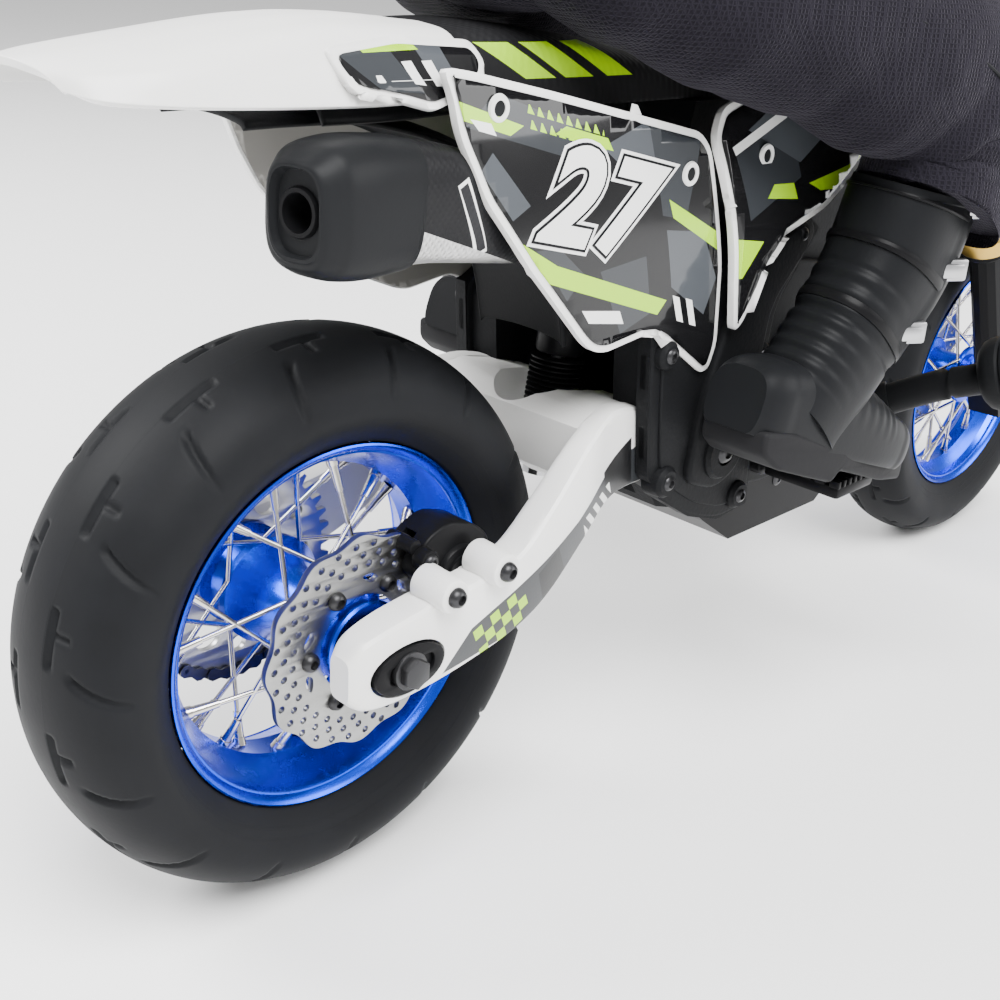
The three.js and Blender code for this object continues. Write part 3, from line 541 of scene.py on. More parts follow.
def spline_point(points, t):
    """A point on a smooth curve through tuples of any length, with t from 0 to 1."""
    spans = len(points) - 1
    place = min(max(t, 0.0), 1.0) * spans
    i = min(int(place), spans - 1)
    f = place - i
    p = [points[min(max(i + k, 0), spans)] for k in (-1, 0, 1, 2)]
    return [0.5 * (2 * b + (c - a) * f + (2 * a - 5 * b + 4 * c - d) * f * f
                   + (3 * b - a - 3 * c + d) * f ** 3) for a, b, c, d in zip(*p)]


def limb(stations, sides=40, rings=40, power=2.0, shape=None, ends=True):
    """A rounded solid through stations (x, y, z, half width, half depth).

    The shape function, if given, takes t along and the angle round and gives a radius factor."""
    bm = bmesh.new()
    ring = None
    for n in range(rings + 1):
        t = n / rings
        x, y, z, wide, deep = spline_point(stations, t)
        centre = Vector((x, y, z))
        before = Vector(spline_point(stations, t - 0.02)[:3])
        after = Vector(spline_point(stations, t + 0.02)[:3])
        along = (after - before).normalized()
        across = Vector((0, 1, 0)) if abs(along.y) < 0.9 else Vector((1, 0, 0))
        across = (across - along * across.dot(along)).normalized()
        up = along.cross(across)
        if ring is None:
            ring = bmesh.ops.create_circle(bm, segments=sides, radius=1)["verts"]
            ends_first = ring
        else:
            edges = [e for e in bm.edges if e.verts[0] in ring_set and e.verts[1] in ring_set]
            grown = bmesh.ops.extrude_edge_only(bm, edges=edges)["geom"]
            new = [v for v in grown if isinstance(v, bmesh.types.BMVert)]
            follow = {}
            for v in new:
                for e in v.link_edges:
                    other = e.other_vert(v)
                    if other in ring_set:
                        follow[other] = v
            ring = [follow[v] for v in ring]
        ring_set = set(ring)
        for j, v in enumerate(ring):
            angle = TURN * j / sides
            c, s = math.cos(angle), math.sin(angle)
            reach = (abs(c) ** power + abs(s) ** power) ** (-1 / power)
            if shape:
                reach *= shape(t, angle)
            v.co = centre + across * (wide * c * reach) + up * (deep * s * reach)
    if ends:
        for loop in (ends_first, ring):
            bm.faces.new(loop)
    bmesh.ops.recalc_face_normals(bm, faces=bm.faces)
    return bm


def tube(points, radius, count=40, sides=20):
    """A round bar bent along a smooth curve."""
    stations = [(*p, radius, radius) for p in points]
    return limb(stations, sides, count)


def screw_head(point, radius, height, facing=(0, -1, 0)):
    """A button-head screw with a hexagonal socket, its head standing on the point."""
    axis = Vector(facing).normalized()
    bm = bmesh.new()
    profile = [(radius, 0.0), (radius, height * 0.35), (radius * 0.8, height * 0.82),
               (radius * 0.5, height)]
    verts = [bm.verts.new((r, 0, h)) for r, h in profile]
    edges = [bm.edges.new(pair) for pair in zip(verts, verts[1:])]
    bmesh.ops.spin(bm, geom=verts + edges, cent=(0, 0, 0), axis=(0, 0, 1), angle=TURN, steps=18,
                   use_merge=True, dvec=(0, 0, 0), use_duplicate=False)
    bmesh.ops.remove_doubles(bm, verts=bm.verts, dist=1e-3)
    bmesh.ops.holes_fill(bm, edges=bm.edges, sides=0)
    top = max(bm.faces, key=lambda f: f.calc_center_median().z)
    bmesh.ops.inset_region(bm, faces=[top], thickness=radius * 0.08)
    bmesh.ops.translate(bm, verts=top.verts, vec=(0, 0, -height * 0.45))
    turn = axis.to_track_quat("Z", "Y").to_matrix().to_4x4()
    bmesh.ops.transform(bm, matrix=Matrix.Translation(point) @ turn, verts=bm.verts)
    return bm


def repeated(bm, turns):
    """Copies of a shape, one for each matrix."""
    base = bpy.data.meshes.new("base")
    bm.to_mesh(base)
    bm.free()
    whole = bmesh.new()
    for turn in turns:
        copy = base.copy()
        copy.transform(turn)
        whole.from_mesh(copy)
        bpy.data.meshes.remove(copy)
    bpy.data.meshes.remove(base)
    return whole


def about(axle, angle):
    """A turn about the Y line through a point."""
    return Matrix.Translation(axle) @ Matrix.Rotation(angle, 4, "Y") @ Matrix.Translation(-axle)


def around(axle, count, phase=0.0):
    return [about(axle, phase + TURN * i / count) for i in range(count)]


def span(node, axis):
    """The lowest and highest value of a CAD node along one axis, in millimetres from the axle."""
    low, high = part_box(node)
    shift = REAR_AXLE_X if axis == 0 else 0
    return low[axis] / MM - shift, high[axis] / MM - shift


# Wheels

TYRE_STEPS = 600
TREAD_POINTS = 78
TREAD_REPEATS = 15
GROOVE_DEPTH = 1.3


def inside(value, low, high, soft):
    """One between two limits, falling to zero over the soft width outside them."""
    return min(max(min(value - low, high - value) / soft + 1, 0.0), 1.0)


def groove(across, turn, half_width):
    """How deep the tread is cut, from 0 to 1, at a distance across and a share of a repeat."""
    deepest = 0.0
    for side in (-1, 1):
        reach = side * across / half_width
        share = (turn + (0.5 if side < 0 else 0.0)) % 1.0
        bar = inside(reach, 0.27, 0.31, 0.02) * inside(share, 0.2, 0.62, 0.02)
        stem = inside(reach, 0.31, 0.5, 0.02) * inside(share, 0.36, 0.39, 0.015)
        sweep = 0.62 + 0.34 * max(reach - 0.52, 0.0) ** 0.8
        sipe = inside(reach, 0.56, 0.97, 0.03) * inside((share - sweep + 0.5) % 1.0 - 0.5, -0.015, 0.03, 0.02)
        seam = 0.35 * inside(reach, 0.405, 0.415, 0.01) * inside(share, 0.45, 0.98, 0.02)
        deepest = max(deepest, bar, stem, sipe, seam)
    return deepest


def make_tyre(name, axle, lip, finish):
    """A tyre whose tread is cut by grooves and shoulder sipes."""
    half_width = span(name, 1)[1]
    crown = axle.z
    shoulder = crown - half_width * 0.66
    outer = []
    for i in range(TREAD_POINTS + 1):
        angle = math.pi * (i / TREAD_POINTS - 0.5)
        outer.append((shoulder + (crown - shoulder) * math.cos(angle) ** 0.92 if abs(angle) < 1.57 else shoulder,
                      half_width * math.sin(angle)))
    wall = [(lip.x + (shoulder - lip.x) * t, lip.y + (half_width - lip.y) * math.sin(t * math.pi / 2))
            for t in (0.0, 0.07, 0.13, 0.25, 0.4, 0.55, 0.7, 0.85)]
    inner = [(lip.x - 0.4, lip.y - 3), (shoulder, half_width - 3), (crown - 7, half_width * 0.55)]
    left = [(r, -y) for r, y in wall]
    right = [(r, y) for r, y in reversed(wall)]
    hollow = [*inner, (crown - 4, 0), *[(r, -y) for r, y in reversed(inner)]]
    bm = lathe(left + outer + right + hollow, axle, TYRE_STEPS)
    for v in bm.verts:
        dx, dz = v.co.x - axle.x, v.co.z - axle.z
        reach = math.hypot(dx, dz)
        if reach > shoulder + 0.5 and reach > crown - 3.0 - 14.0 * (v.co.y / half_width) ** 2:
            turn = math.atan2(dz, dx) / TURN * TREAD_REPEATS
            cut = groove(v.co.y, turn, half_width) * GROOVE_DEPTH
            if cut and reach > crown - 2.5 - (crown - shoulder) * (1 - math.sqrt(max(0,
                                                                                     1 - (v.co.y / half_width) ** 2))):
                v.co.x -= dx / reach * cut
                v.co.z -= dz / reach * cut
    return piece(bm, f"{name}_moulding", None, finish, merge=False, sharp=75)


def make_rim(axle, lip, well):
    """A drop-centre rim with rolled lips."""
    r, y = lip
    half = [
        (r, y - 1.1), (r, y), (r - 0.5, y + 0.3), (r - 1.0, y), (r - 1.5, y - 0.5), (r - 2.4, y - 1.6),
        (well + 4.6, y - 5.0), (well + 3.0, y * 0.5), (well + 1.2, y * 0.34), (well + 0.1, y * 0.24)]
    outer = [(r - 3.0, y - 1.9), (well + 5.8, y - 5.2), (well + 4.2, y * 0.5), (well + 1.9, y * 0.2)]
    profile = [*outer[::-1], *half, *[(a, -b) for a, b in reversed(half)], *[(a, -b) for a, b in outer]]
    return lathe(profile, axle, 128)


def make_spokes(axle, well, flange_radius, flange_y, count=28):
    """Crossed spokes with their long nipples."""
    spokes, nipples = [], []
    for i in range(count):
        side = 1 if i % 2 else -1
        lean = 1 if (i // 2) % 2 else -1
        at = TURN * i / count
        start_angle = at - lean * math.radians(46)
        start = axle + Vector((
            flange_radius * math.cos(start_angle), side * flange_y, flange_radius * math.sin(start_angle)))
        end = axle + Vector(((well + 1.5) * math.cos(at), side * 1.4, (well + 1.5) * math.sin(at)))
        toward = (end - start).normalized()
        spokes.append(rod(start, end, 0.72, segments=10))
        nipples.append(rod(end - toward * 2.2, end - toward * 10.5, 1.5, 1.1, 12))
        nipples.append(rod(end - toward * 1.2, end - toward * 3.4, 1.9, 1.7, 12))
    return join(*spokes), join(*nipples)


def disc_outline(axle, radius, waves, depth):
    return [(axle.x + (radius - depth + depth * math.cos(waves * a)) * math.cos(a),
             axle.z + (radius - depth + depth * math.cos(waves * a)) * math.sin(a))
            for a in (TURN * i / 240 for i in range(240))]


def turned(points, axle, angle):
    c, s = math.cos(angle), math.sin(angle)
    return [(axle.x + p * c - q * s, axle.z + p * s + q * c) for p, q in points]


def make_disc(node, axle, bore):
    """A vented brake disc with a wavy edge, three rows of holes and teardrop windows."""
    radius = (span(node, 0)[1] - span(node, 0)[0]) / 2
    y0, y1 = span(node, 1)
    outlines = [disc_outline(axle, radius, 12, 0.8), circle(axle.x, axle.z, bore, 48)[::-1]]
    band = radius - 10.5
    for i in range(30):
        for row in range(3):
            angle = TURN * (i + row * 0.42) / 30
            reach = band + 2.3 + row * 2.75
            outlines.append(circle(
                axle.x + reach * math.cos(angle), axle.z + reach * math.sin(angle), 0.98, 10))
    tear = [(bore + 3.0, -1.0), (band - 1.6, -2.6), (band - 0.4, 0.6), (band - 1.4, 3.4), (bore + 3.6, 1.2)]
    for i in range(9):
        outlines.append(turned(rounded(tear, 1.2), axle, TURN * i / 9))
    return flat(outlines, y0, y1, 0.12)


def tooth_outline(axle, root, tip, count):
    points = []
    for i in range(count):
        for share, reach in ((-0.3, root), (-0.12, tip), (0.12, tip), (0.3, root)):
            angle = TURN * (i + share) / count
            points.append((axle.x + reach * math.cos(angle), axle.z + reach * math.sin(angle)))
    return points


def make_rear_wheel():
    axle = REAR_AXLE
    well = 41.6
    tyre = make_tyre("rear_tyre", axle, Vector((51.0, 17.2)), "rear_rubber")
    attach(tyre, "rear_wheel")
    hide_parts("rear_tyre")
    piece(make_rim(axle, (50.6, 17.8), well), "rear_rim_spun", "rear_wheel", "blue",
          ("rear_rim",), sharp=30)
    spokes, nipples = make_spokes(axle, well, 14.4, 12.6)
    piece(spokes, "rear_spokes", "rear_wheel", "chrome", ())
    piece(nipples, "rear_nipples", "rear_wheel", "chrome", ())
    low, high = span("rear_hub", 1)
    barrel = [
        (4.4, low + 0.2), (11.4, low + 0.2), (12.0, low + 0.8), (12.0, -17), (10.6, -15.2), (15.0, -14.4),
        (15.5, -13.8), (15.5, -12.2), (15.0, -11.6), (11.5, -11.0), (9.4, -8.5), (9.0, 0), (10.5, 5.5),
        (14.6, 10.6), (15.5, 11.6), (15.5, 14.0), (14.9, 14.6), (13.2, 16.0), (12.8, 22), (14.8, 24.5),
        (14.8, 26.2), (12.0, 26.8), (12.0, 27.6), (4.4, 27.6)]
    piece(lathe(barrel, axle, 72), "rear_hub_turned", "rear_wheel", "blue", ("rear_hub",),
          sharp=28)
    webs = repeated(block(axle + Vector((11, -21.8, -1.6)), axle + Vector((19.5, -24.9, 1.6)), 0.5),
                    around(axle, 6))
    piece(webs, "rear_disc_carrier", "rear_wheel", "blue", ())
    bolts = repeated(screw_head(axle + Vector((16.6, -26.5, 0)), 2.5, 2.2), around(axle, 6))
    piece(bolts, "rear_disc_bolts", "rear_wheel", "screw", ())
    piece(make_disc("rear_brake_disc", axle, 13.2), "rear_disc_vented", "rear_wheel", "rear_disc",
          ("rear_brake_disc",))
    y0, y1 = span("rear_sprocket", 1)
    holes = [circle(axle.x, axle.z, 13.0, 40)]
    for i in range(6):
        angle = TURN * i / 6
        holes.append(circle(axle.x + 21 * math.cos(angle), axle.z + 21 * math.sin(angle), 4.4, 22))
        angle += TURN / 12
        holes.append(circle(axle.x + 24 * math.cos(angle), axle.z + 24 * math.sin(angle), 2.4, 16))
    sprocket = flat([tooth_outline(axle, 30.2, 33.2, 42), *holes], y0, y1, 0.1)
    piece(sprocket, "rear_sprocket_cut", "rear_wheel", "steel", ("rear_sprocket",))


def make_front_wheel():
    axle = FRONT_AXLE
    well = 42.4
    tyre = make_tyre("front_tyre", axle, Vector((51.0, 11.6)), "front_rubber")
    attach(tyre, "front_wheel")
    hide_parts("front_tyre")
    piece(make_rim(axle, (50.6, 12.0), well), "front_rim_spun", "front_wheel", "blue",
          ("front_rim",), sharp=30)
    spokes, nipples = make_spokes(axle, well, 12.0, 8.8)
    piece(spokes, "front_spokes", "front_wheel", "chrome", ())
    piece(nipples, "front_nipples", "front_wheel", "chrome", ())
    barrel = [(4.4, -13.4), (9.4, -13.4), (10, -12.8), (9.2, -10.6), (12.6, -10), (13, -9.4), (13, -8.2),
              (12.6, -7.6), (9.0, -7), (8, -4), (8, 4), (9.0, 7), (12.6, 7.6), (13, 8.2), (13, 9.4),
              (12.6, 10), (10.4, 10.8), (10.4, 14.2), (4.4, 14.2)]
    piece(lathe(barrel, axle, 64), "front_hub_turned", "front_wheel", "blue", ("front_hub",),
          sharp=28)
    piece(make_disc("front_brake_disc", axle, 11.4), "front_disc_vented", "front_wheel", "front_disc",
          ("front_brake_disc",))
    bolts = repeated(screw_head(axle + Vector((14.0, 16.2, 0)), 2.0, 1.6, (0, 1, 0)), around(axle, 6))
    piece(bolts, "front_disc_bolts", "front_wheel", "screw", ())


REAR_PITCH_RADIUS = 32.1
FRONT_PITCH_RADIUS = 10.8
CHAIN_Y = (26.8, 31.2)
CHAIN_LINKS = 82


def chain_path(count):
    """Evenly spaced points with directions on the belt line round both sprockets."""
    a, b = REAR_AXLE, PIVOT
    gap = Vector((b.x - a.x, b.z - a.z))
    lean = math.atan2(gap.y, gap.x)
    spread = math.acos((REAR_PITCH_RADIUS - FRONT_PITCH_RADIUS) / gap.length)
    dense = []
    for i in range(201):
        angle = lean + spread + (TURN - 2 * spread) * i / 200
        dense.append(Vector((a.x + REAR_PITCH_RADIUS * math.cos(angle),
                             a.z + REAR_PITCH_RADIUS * math.sin(angle))))
    for i in range(121):
        angle = lean - spread + 2 * spread * i / 120
        dense.append(Vector((b.x + FRONT_PITCH_RADIUS * math.cos(angle),
                             b.z + FRONT_PITCH_RADIUS * math.sin(angle))))
    dense.append(dense[0])
    lengths = [0.0]
    for p, q in zip(dense, dense[1:]):
        lengths.append(lengths[-1] + (q - p).length)
    out, k = [], 0
    for i in range(count + 1):
        want = lengths[-1] * i / count
        while k < len(lengths) - 2 and lengths[k + 1] < want:
            k += 1
        t = (want - lengths[k]) / max(lengths[k + 1] - lengths[k], 1e-6)
        out.append(dense[k].lerp(dense[k + 1], t))
    return out


def make_chain():
    pins = chain_path(CHAIN_LINKS)
    pitch = (pins[1] - pins[0]).length
    low, high = CHAIN_Y
    middle = (low + high) / 2

    def plate(radius, y0, y1):
        waist = [(0, -radius), (pitch / 2, -radius * 0.62), (pitch, -radius)]
        right = [(pitch + radius * math.sin(a), -radius * math.cos(a)) for a in (0.8, 1.57, 2.34)]
        left = [(-radius * math.sin(a), radius * math.cos(a)) for a in (0.8, 1.57, 2.34)]
        top = [(pitch, radius), (pitch / 2, radius * 0.62), (0, radius)]
        return flat([waist + right + top + left], y0, y1)

    pairs = []
    for outer in (True, False):
        reach = 2.2 if outer else 1.5
        link = join(plate(2.05, middle - reach, middle - reach + 0.6),
                    plate(2.05, middle + reach - 0.6, middle + reach),
                    rod((0, middle - 1.0, 0), (0, middle + 1.0, 0), 1.45, segments=14))
        if outer:
            link = join(link, rod((0, low, 0), (0, high, 0), 0.75, segments=12),
                        rod((pitch, low, 0), (pitch, high, 0), 0.75, segments=12))
        turns = []
        for i in range(0 if outer else 1, CHAIN_LINKS, 2):
            p, q = pins[i], pins[i + 1]
            angle = math.atan2(q.y - p.y, q.x - p.x)
            turns.append(Matrix.Translation((p.x, 0, p.y)) @ Matrix.Rotation(-angle, 4, "Y"))
        pairs.append(repeated(link, turns))
    piece(join(*pairs), "roller_chain", "swingarm", "dark_steel", ("drive_chain",), merge=False)


# Swingarm, axle and brake

ARM_STATIONS = (
    (-17, -42.2, -35.2, 84, 72), (-13, -43.8, -34.2, 88, 69), (-4, -44.6, -33.6, 90.5, 68),
    (10, -44.6, -33.6, 92.5, 68.6), (26, -44.6, -33.6, 94, 71), (40, -44.5, -33.6, 97, 74.4),
    (53, -43.4, -33.2, 107, 80), (70, -40, -31.2, 119.5, 90), (86, -35.4, -27.6, 124.6, 97),
    (104, -34.3, -25.4, 121, 98.4), (128, -34.3, -25.2, 114, 96.6), (139.6, -34, -25.6, 109, 100))


def box_limb(stations, rings, corner):
    """A beam with rounded corners through (x, outer y, inner y, top, bottom) stations."""
    bm = bmesh.new()
    last = None
    for n in range(rings + 1):
        x, outer, inner, top, low = spline_point(stations, n / rings)
        ring = rounded([(outer, low), (inner, low), (inner, top), (outer, top)], corner, 3)
        verts = [bm.verts.new((x, y, z)) for y, z in ring]
        edges = [bm.edges.new((verts[i - 1], verts[i])) for i in range(len(verts))]
        if last:
            bmesh.ops.bridge_loops(bm, edges=last + edges)
        else:
            bm.faces.new(verts)
        last = edges
    bm.faces.new(verts)
    bmesh.ops.recalc_face_normals(bm, faces=bm.faces)
    return bm


def carve(bm, name, cutters):
    """Takes closed shapes out of another, and returns what is left."""
    def holder(shape, label):
        mesh = bpy.data.meshes.new(label)
        shape.to_mesh(mesh)
        shape.free()
        made = bpy.data.objects.new(label, mesh)
        bpy.context.scene.collection.objects.link(made)
        return made
    base = holder(bm, name)
    tools = [holder(cutter, f"{name}_cutter") for cutter in cutters]
    for tool in tools:
        cut = base.modifiers.new("cut", "BOOLEAN")
        cut.operation = "DIFFERENCE"
        cut.solver = "EXACT"
        cut.object = tool
    mesh = bpy.data.meshes.new_from_object(base.evaluated_get(bpy.context.evaluated_depsgraph_get()))
    for made in [base, *tools]:
        old = made.data
        bpy.data.objects.remove(made)
        bpy.data.meshes.remove(old)
    out = bmesh.new()
    out.from_mesh(mesh)
    bpy.data.meshes.remove(mesh)
    return out


def oval(x, z, wide, high, y0, y1, steps=32):
    return flat([[(x + wide * math.cos(TURN * i / steps), z + high * math.sin(TURN * i / steps))
                  for i in range(steps)]], y0, y1)


def arm_finish():
    """White moulding with a dark wedge and a neon chequer on its outer face."""
    made = Finish("arm_print", (0.78, 0.775, 0.76), 0.36)
    x, y, z = made.place()
    drift = made.noise(28.0, 4.0)
    color = made.mix(drift, (0.74, 0.735, 0.72), (0.81, 0.805, 0.79))
    grey = (0.026, 0.028, 0.031)
    color = scattered(made, x, z, [
        (grey, [(12, 71.2), (40, 74.6), (56, 80.5), (74, 92), (66, 98), (22, 81)]),
        (grey, [(58, 80), (80, 88), (104, 92), (100, 112), (84, 108), (66, 98)]),
        (grey, [(90, 92), (128, 92), (130, 112), (100, 112)]),
        (BLACK, [(50, 79.5), (60, 85), (56, 93.5), (47, 88.6)]),
        (BLACK, [(84, 94.6), (96, 99), (94, 114.6), (80, 107.6)])], color)
    u = (x - 25) * 0.92 + (z - 73.6) * 0.39
    v = (z - 73.6) * 0.92 - (x - 25) * 0.39
    cell = (u / 3.3).math("FLOOR") + (v / 3.3).math("FLOOR")
    squares = (cell / 2).math("FRACT").above(0.25)
    zone = u.above(0) * u.below(19.8) * v.above(-3.3) * v.below(6.6)
    color = made.mix(squares * zone, color, NEON)
    slash = ((u + v * 0.5) / 4.4).math("FRACT").below(0.5) * u.above(49) * u.below(66) * v.above(-3) * v.below(4.4)
    color = made.mix(slash, color, (0.8, 0.8, 0.79))
    skin_y = (43.0 - (x - 53) * 0.25).least(43.0).most(33.3)
    color = made.mix(abs(y).above(skin_y), made.mix(drift, (0.74, 0.735, 0.72), (0.81, 0.805, 0.79)), color)
    made.paint(color)
    made.set("Roughness", drift * 0.08 + 0.3)
    made.bump(made.noise(1300.0, 2.0), 0.02)
    return made


def make_swingarm():
    hole = oval(0.5, REAR_AXLE.z, 12.2, 7.2, -60, 60)
    arm = box_limb(ARM_STATIONS, 66, 2.6)
    arms = join(arm, flip(box_limb(ARM_STATIONS, 66, 2.6)))
    bridge = bmesh.new()
    last = None
    for x, half, top, low in ((75, 34, 120, 104), (80, 33.6, 123.4, 100), (86, 33, 124.4, 98),
                              (98, 30, 122.4, 98),
                              (108, 27.6, 119.6, 98), (111.4, 27, 118, 99.6)):
        ring = rounded([(-half, low), (half, low), (half, top), (-half, top)], 3, 3)
        verts = [bridge.verts.new((x, y, z)) for y, z in ring]
        edges = [bridge.edges.new((verts[i - 1], verts[i])) for i in range(len(verts))]
        if last:
            bmesh.ops.bridge_loops(bridge, edges=last + edges)
        else:
            bridge.faces.new(verts)
        last = edges
    bridge.faces.new(verts)
    bmesh.ops.recalc_face_normals(bridge, faces=bridge.faces)
    well = limb([(96, 0, 90, 13.5, 20.5), (96, 0, 135, 13.5, 20.5)], 48, 2)
    chain_slot = block((70, 25.4, 96), (145, 32.6, 122), 1)
    bay = rod((PIVOT.x, 23, PIVOT.z), (PIVOT.x, 32.4, PIVOT.z), 14.2, segments=40)
    arms = carve(arms, "arms", [hole])
    bridge = carve(bridge, "bridge", [well, chain_slot])
    arms = carve(arms, "arm_bays", [block((60, 25.4, 96), (150, 32.6, 118), 1), bay])
    piece(arms, "swingarm_beams", "swingarm", arm_finish(), ("swingarm",), bevel=0.35,
          sharp=30)
    piece(bridge, "swingarm_bridge", "swingarm", "white", (), bevel=0.5, sharp=30)
    lugs = join(block((88, -26, 95), (100, -9, 103), 1), block((88, 9, 95), (100, 26, 103), 1),
                rod((94, -24, 98), (94, 24, 98), 2.2, bevel=0.3))
    piece(lugs, "shock_lugs", "swingarm", "white", ())
    boss = []
    for x, z in ((30.5, 93.2), (12.5, 91.6)):
        boss.append(rod((x, -47.8, z + 2.8), (x, -36, z + 2.8), 4.6, 5.2, 32, 0.7))
    piece(join(*boss), "hose_guides", "swingarm", "white", ())
    caps = join(*[screw_head((x, -47.7, z + 2.8), 2.7, 2.4) for x, z in ((30.5, 93.2), (12.5, 91.6))])
    piece(caps, "hose_guide_screws", "swingarm", "screw", ())
    insert = []
    for side in (1, -1):
        slot_plate = flat([[(0.5 + 11.4 * math.cos(a), REAR_AXLE.z + 6.5 * math.sin(a))
                            for a in (TURN * i / 40 for i in range(40))],
                           rounded([(-6.4, REAR_AXLE.z - 2.6), (8.4, REAR_AXLE.z - 2.6),
                                    (8.4, REAR_AXLE.z + 2.6), (-6.4, REAR_AXLE.z + 2.6)], 2.4)],
                          -45.4, -43.4, 0.35)
        core = oval(0.5, REAR_AXLE.z, 11.2, 6.3, -44.2, -33.9)
        whole = join(slot_plate, core)
        insert.append(flip(whole) if side < 0 else whole)
    piece(join(*insert), "axle_inserts", "swingarm", "smooth_black", ("rear_axle",))
    nuts = []
    for side in (1, -1):
        nut = join(rod((0, -46.2, REAR_AXLE.z), (0, -44, REAR_AXLE.z), 5.2, bevel=0.3),
                   rod((0, -48.8, REAR_AXLE.z), (0, -46, REAR_AXLE.z), 4.2, segments=6, bevel=0.3))
        nuts.append(flip(nut) if side < 0 else nut)
    nuts.append(rod((0, -44, REAR_AXLE.z), (0, 44, REAR_AXLE.z), 4.0))
    piece(join(*nuts), "axle_bolt", "swingarm", "screw", ())


def make_caliper():
    low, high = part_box("rear_caliper")
    y0, y1 = low.y / MM, high.y / MM
    outline = rounded([(11.4, 95), (16, 103.5), (24, 106.4), (33, 103.6), (38.6, 99), (41, 86), (38, 78),
                       (31, 76.6), (24.5, 80), (20, 86)], 3)
    gap = flat([circle(REAR_AXLE.x, REAR_AXLE.z, 31.5, 64)], -27.8, -23.6)
    body = carve(flat([outline], y0, y1, 0.9, 2), "caliper", [gap])
    piston = rod((27.6, y0 - 1.6, 91.6), (27.6, y0 + 1, 91.6), 7.2, 7.8, 40, 0.6)
    ring = lathe([(3.2, -0.6), (5.2, -0.6), (5.2, 0.6), (3.2, 0.6)], Vector((27.6, y0 - 1.7, 91.6)), 40)
    pins = join(rod((14.6, y0 - 3.2, 99), (14.6, y0 + 1, 99), 3.0, bevel=0.5, segments=24),
                rod((37, y0 - 3.2, 82), (37, y0 + 1, 82), 2.8, bevel=0.5, segments=24),
                rod((13, -32, 102), (13, -22, 102), 2.0, bevel=0.4))
    piece(join(body, piston, ring, pins), "brake_caliper", "swingarm", "smooth_black", ("rear_caliper",),
          sharp=32)
    heads = join(screw_head((14.6, y0 - 3.1, 99), 2.1, 1.4), screw_head((37, y0 - 3.1, 82), 2.0, 1.4))
    piece(heads, "caliper_screws", "swingarm", "screw", ())


# Bodywork

def draped(outline, surface, step=4.0):
    """An open sheet with an (x, z) outline, laid on y = surface(x, z)."""
    bm = bmesh.new()
    bm.faces.new([bm.verts.new((x, 0, z)) for x, z in outline])
    cut_grid(bm, step)
    for v in bm.verts:
        v.co.y = surface(v.co.x, v.co.z)
    return bm


def cut_grid(bm, step):
    bmesh.ops.triangulate(bm, faces=bm.faces)
    for axis in (0, 2):
        places = [v.co[axis] for v in bm.verts]
        normal = Vector((1, 0, 0)) if axis == 0 else Vector((0, 0, 1))
        at = min(places) + step
        while at < max(places):
            bmesh.ops.bisect_plane(bm, geom=bm.verts[:] + bm.edges[:] + bm.faces[:], dist=1e-4,
                                   plane_co=normal * at, plane_no=normal)
            at += step


def inset(points, distance):
    """An outline moved inwards by a distance."""
    area = sum(a[0] * b[1] - b[0] * a[1] for a, b in zip(points, points[1:] + points[:1]))
    sign = 1 if area > 0 else -1
    out = []
    for i, here in enumerate(points):
        here = Vector(here)
        before = (here - Vector(points[i - 1])).normalized()
        after = (Vector(points[(i + 1) % len(points)]) - here).normalized()
        n0 = Vector((-before.y, before.x)) * sign
        n1 = Vector((-after.y, after.x)) * sign
        turn = (n0 + n1)
        reach = distance / max(0.35, turn.normalized().dot(n0))
        out.append(tuple(here + turn.normalized() * reach))
    return out


def woven_sheet(rows, across=24, along=40):
    """An open sheet through rows of points, smooth both ways."""
    bm = bmesh.new()
    grid = []
    for i in range(along + 1):
        t = i / along
        line = [spline_point([row[k] for row in rows], t) for k in range(len(rows[0]))]
        grid.append([bm.verts.new(spline_point(line, j / across)) for j in range(across + 1)])
    for a, b in zip(grid, grid[1:]):
        for j in range(across):
            bm.faces.new((a[j], a[j + 1], b[j + 1], b[j]))
    return bm


PANEL = [(14.5, 219), (17, 213), (18.5, 204), (26, 189), (41, 171), (62, 149.5), (66, 146.6), (71, 145.6),
         (88, 148), (94, 146), (114.5, 132), (118, 133), (120.5, 140), (118.5, 163), (110.5, 196), (106,
                                                                                                    200.5),
         (78, 206.5), (50, 212.5), (24, 217.6)]
PANEL_LEFT = [(3, 215), (2, 204), (8.5, 192), (16, 181), (44, 155.6), (56, 150.6), *PANEL[6:]]
SHROUD = [(110.8, 199), (115, 180), (121.5, 144), (126, 147), (133, 163), (140, 169.5), (163, 176),
          (192, 190.5),
          (226, 209), (238, 219), (240, 231), (214, 229.5), (176, 222), (146, 214), (116, 206)]
NUMBER = "27"


def panel_y(x, z):
    """How far out the right side panel stands, as a Y value."""
    fall = min(max((222 - z) / 60, 0.0), 1.0)
    return -(34 + 6.5 * math.sin(math.pi / 2 * fall) + 0.02 * (x - 60))


def shroud_y(x, z):
    low = min(max((224 - z) / 60, 0.0), 1.0)
    ahead = min(max((x - 165) / 75, 0.0), 1.0)
    return -(31 + 15.4 * math.sin(math.pi / 2 * low) ** 1.1 - 7 * ahead ** 1.6)


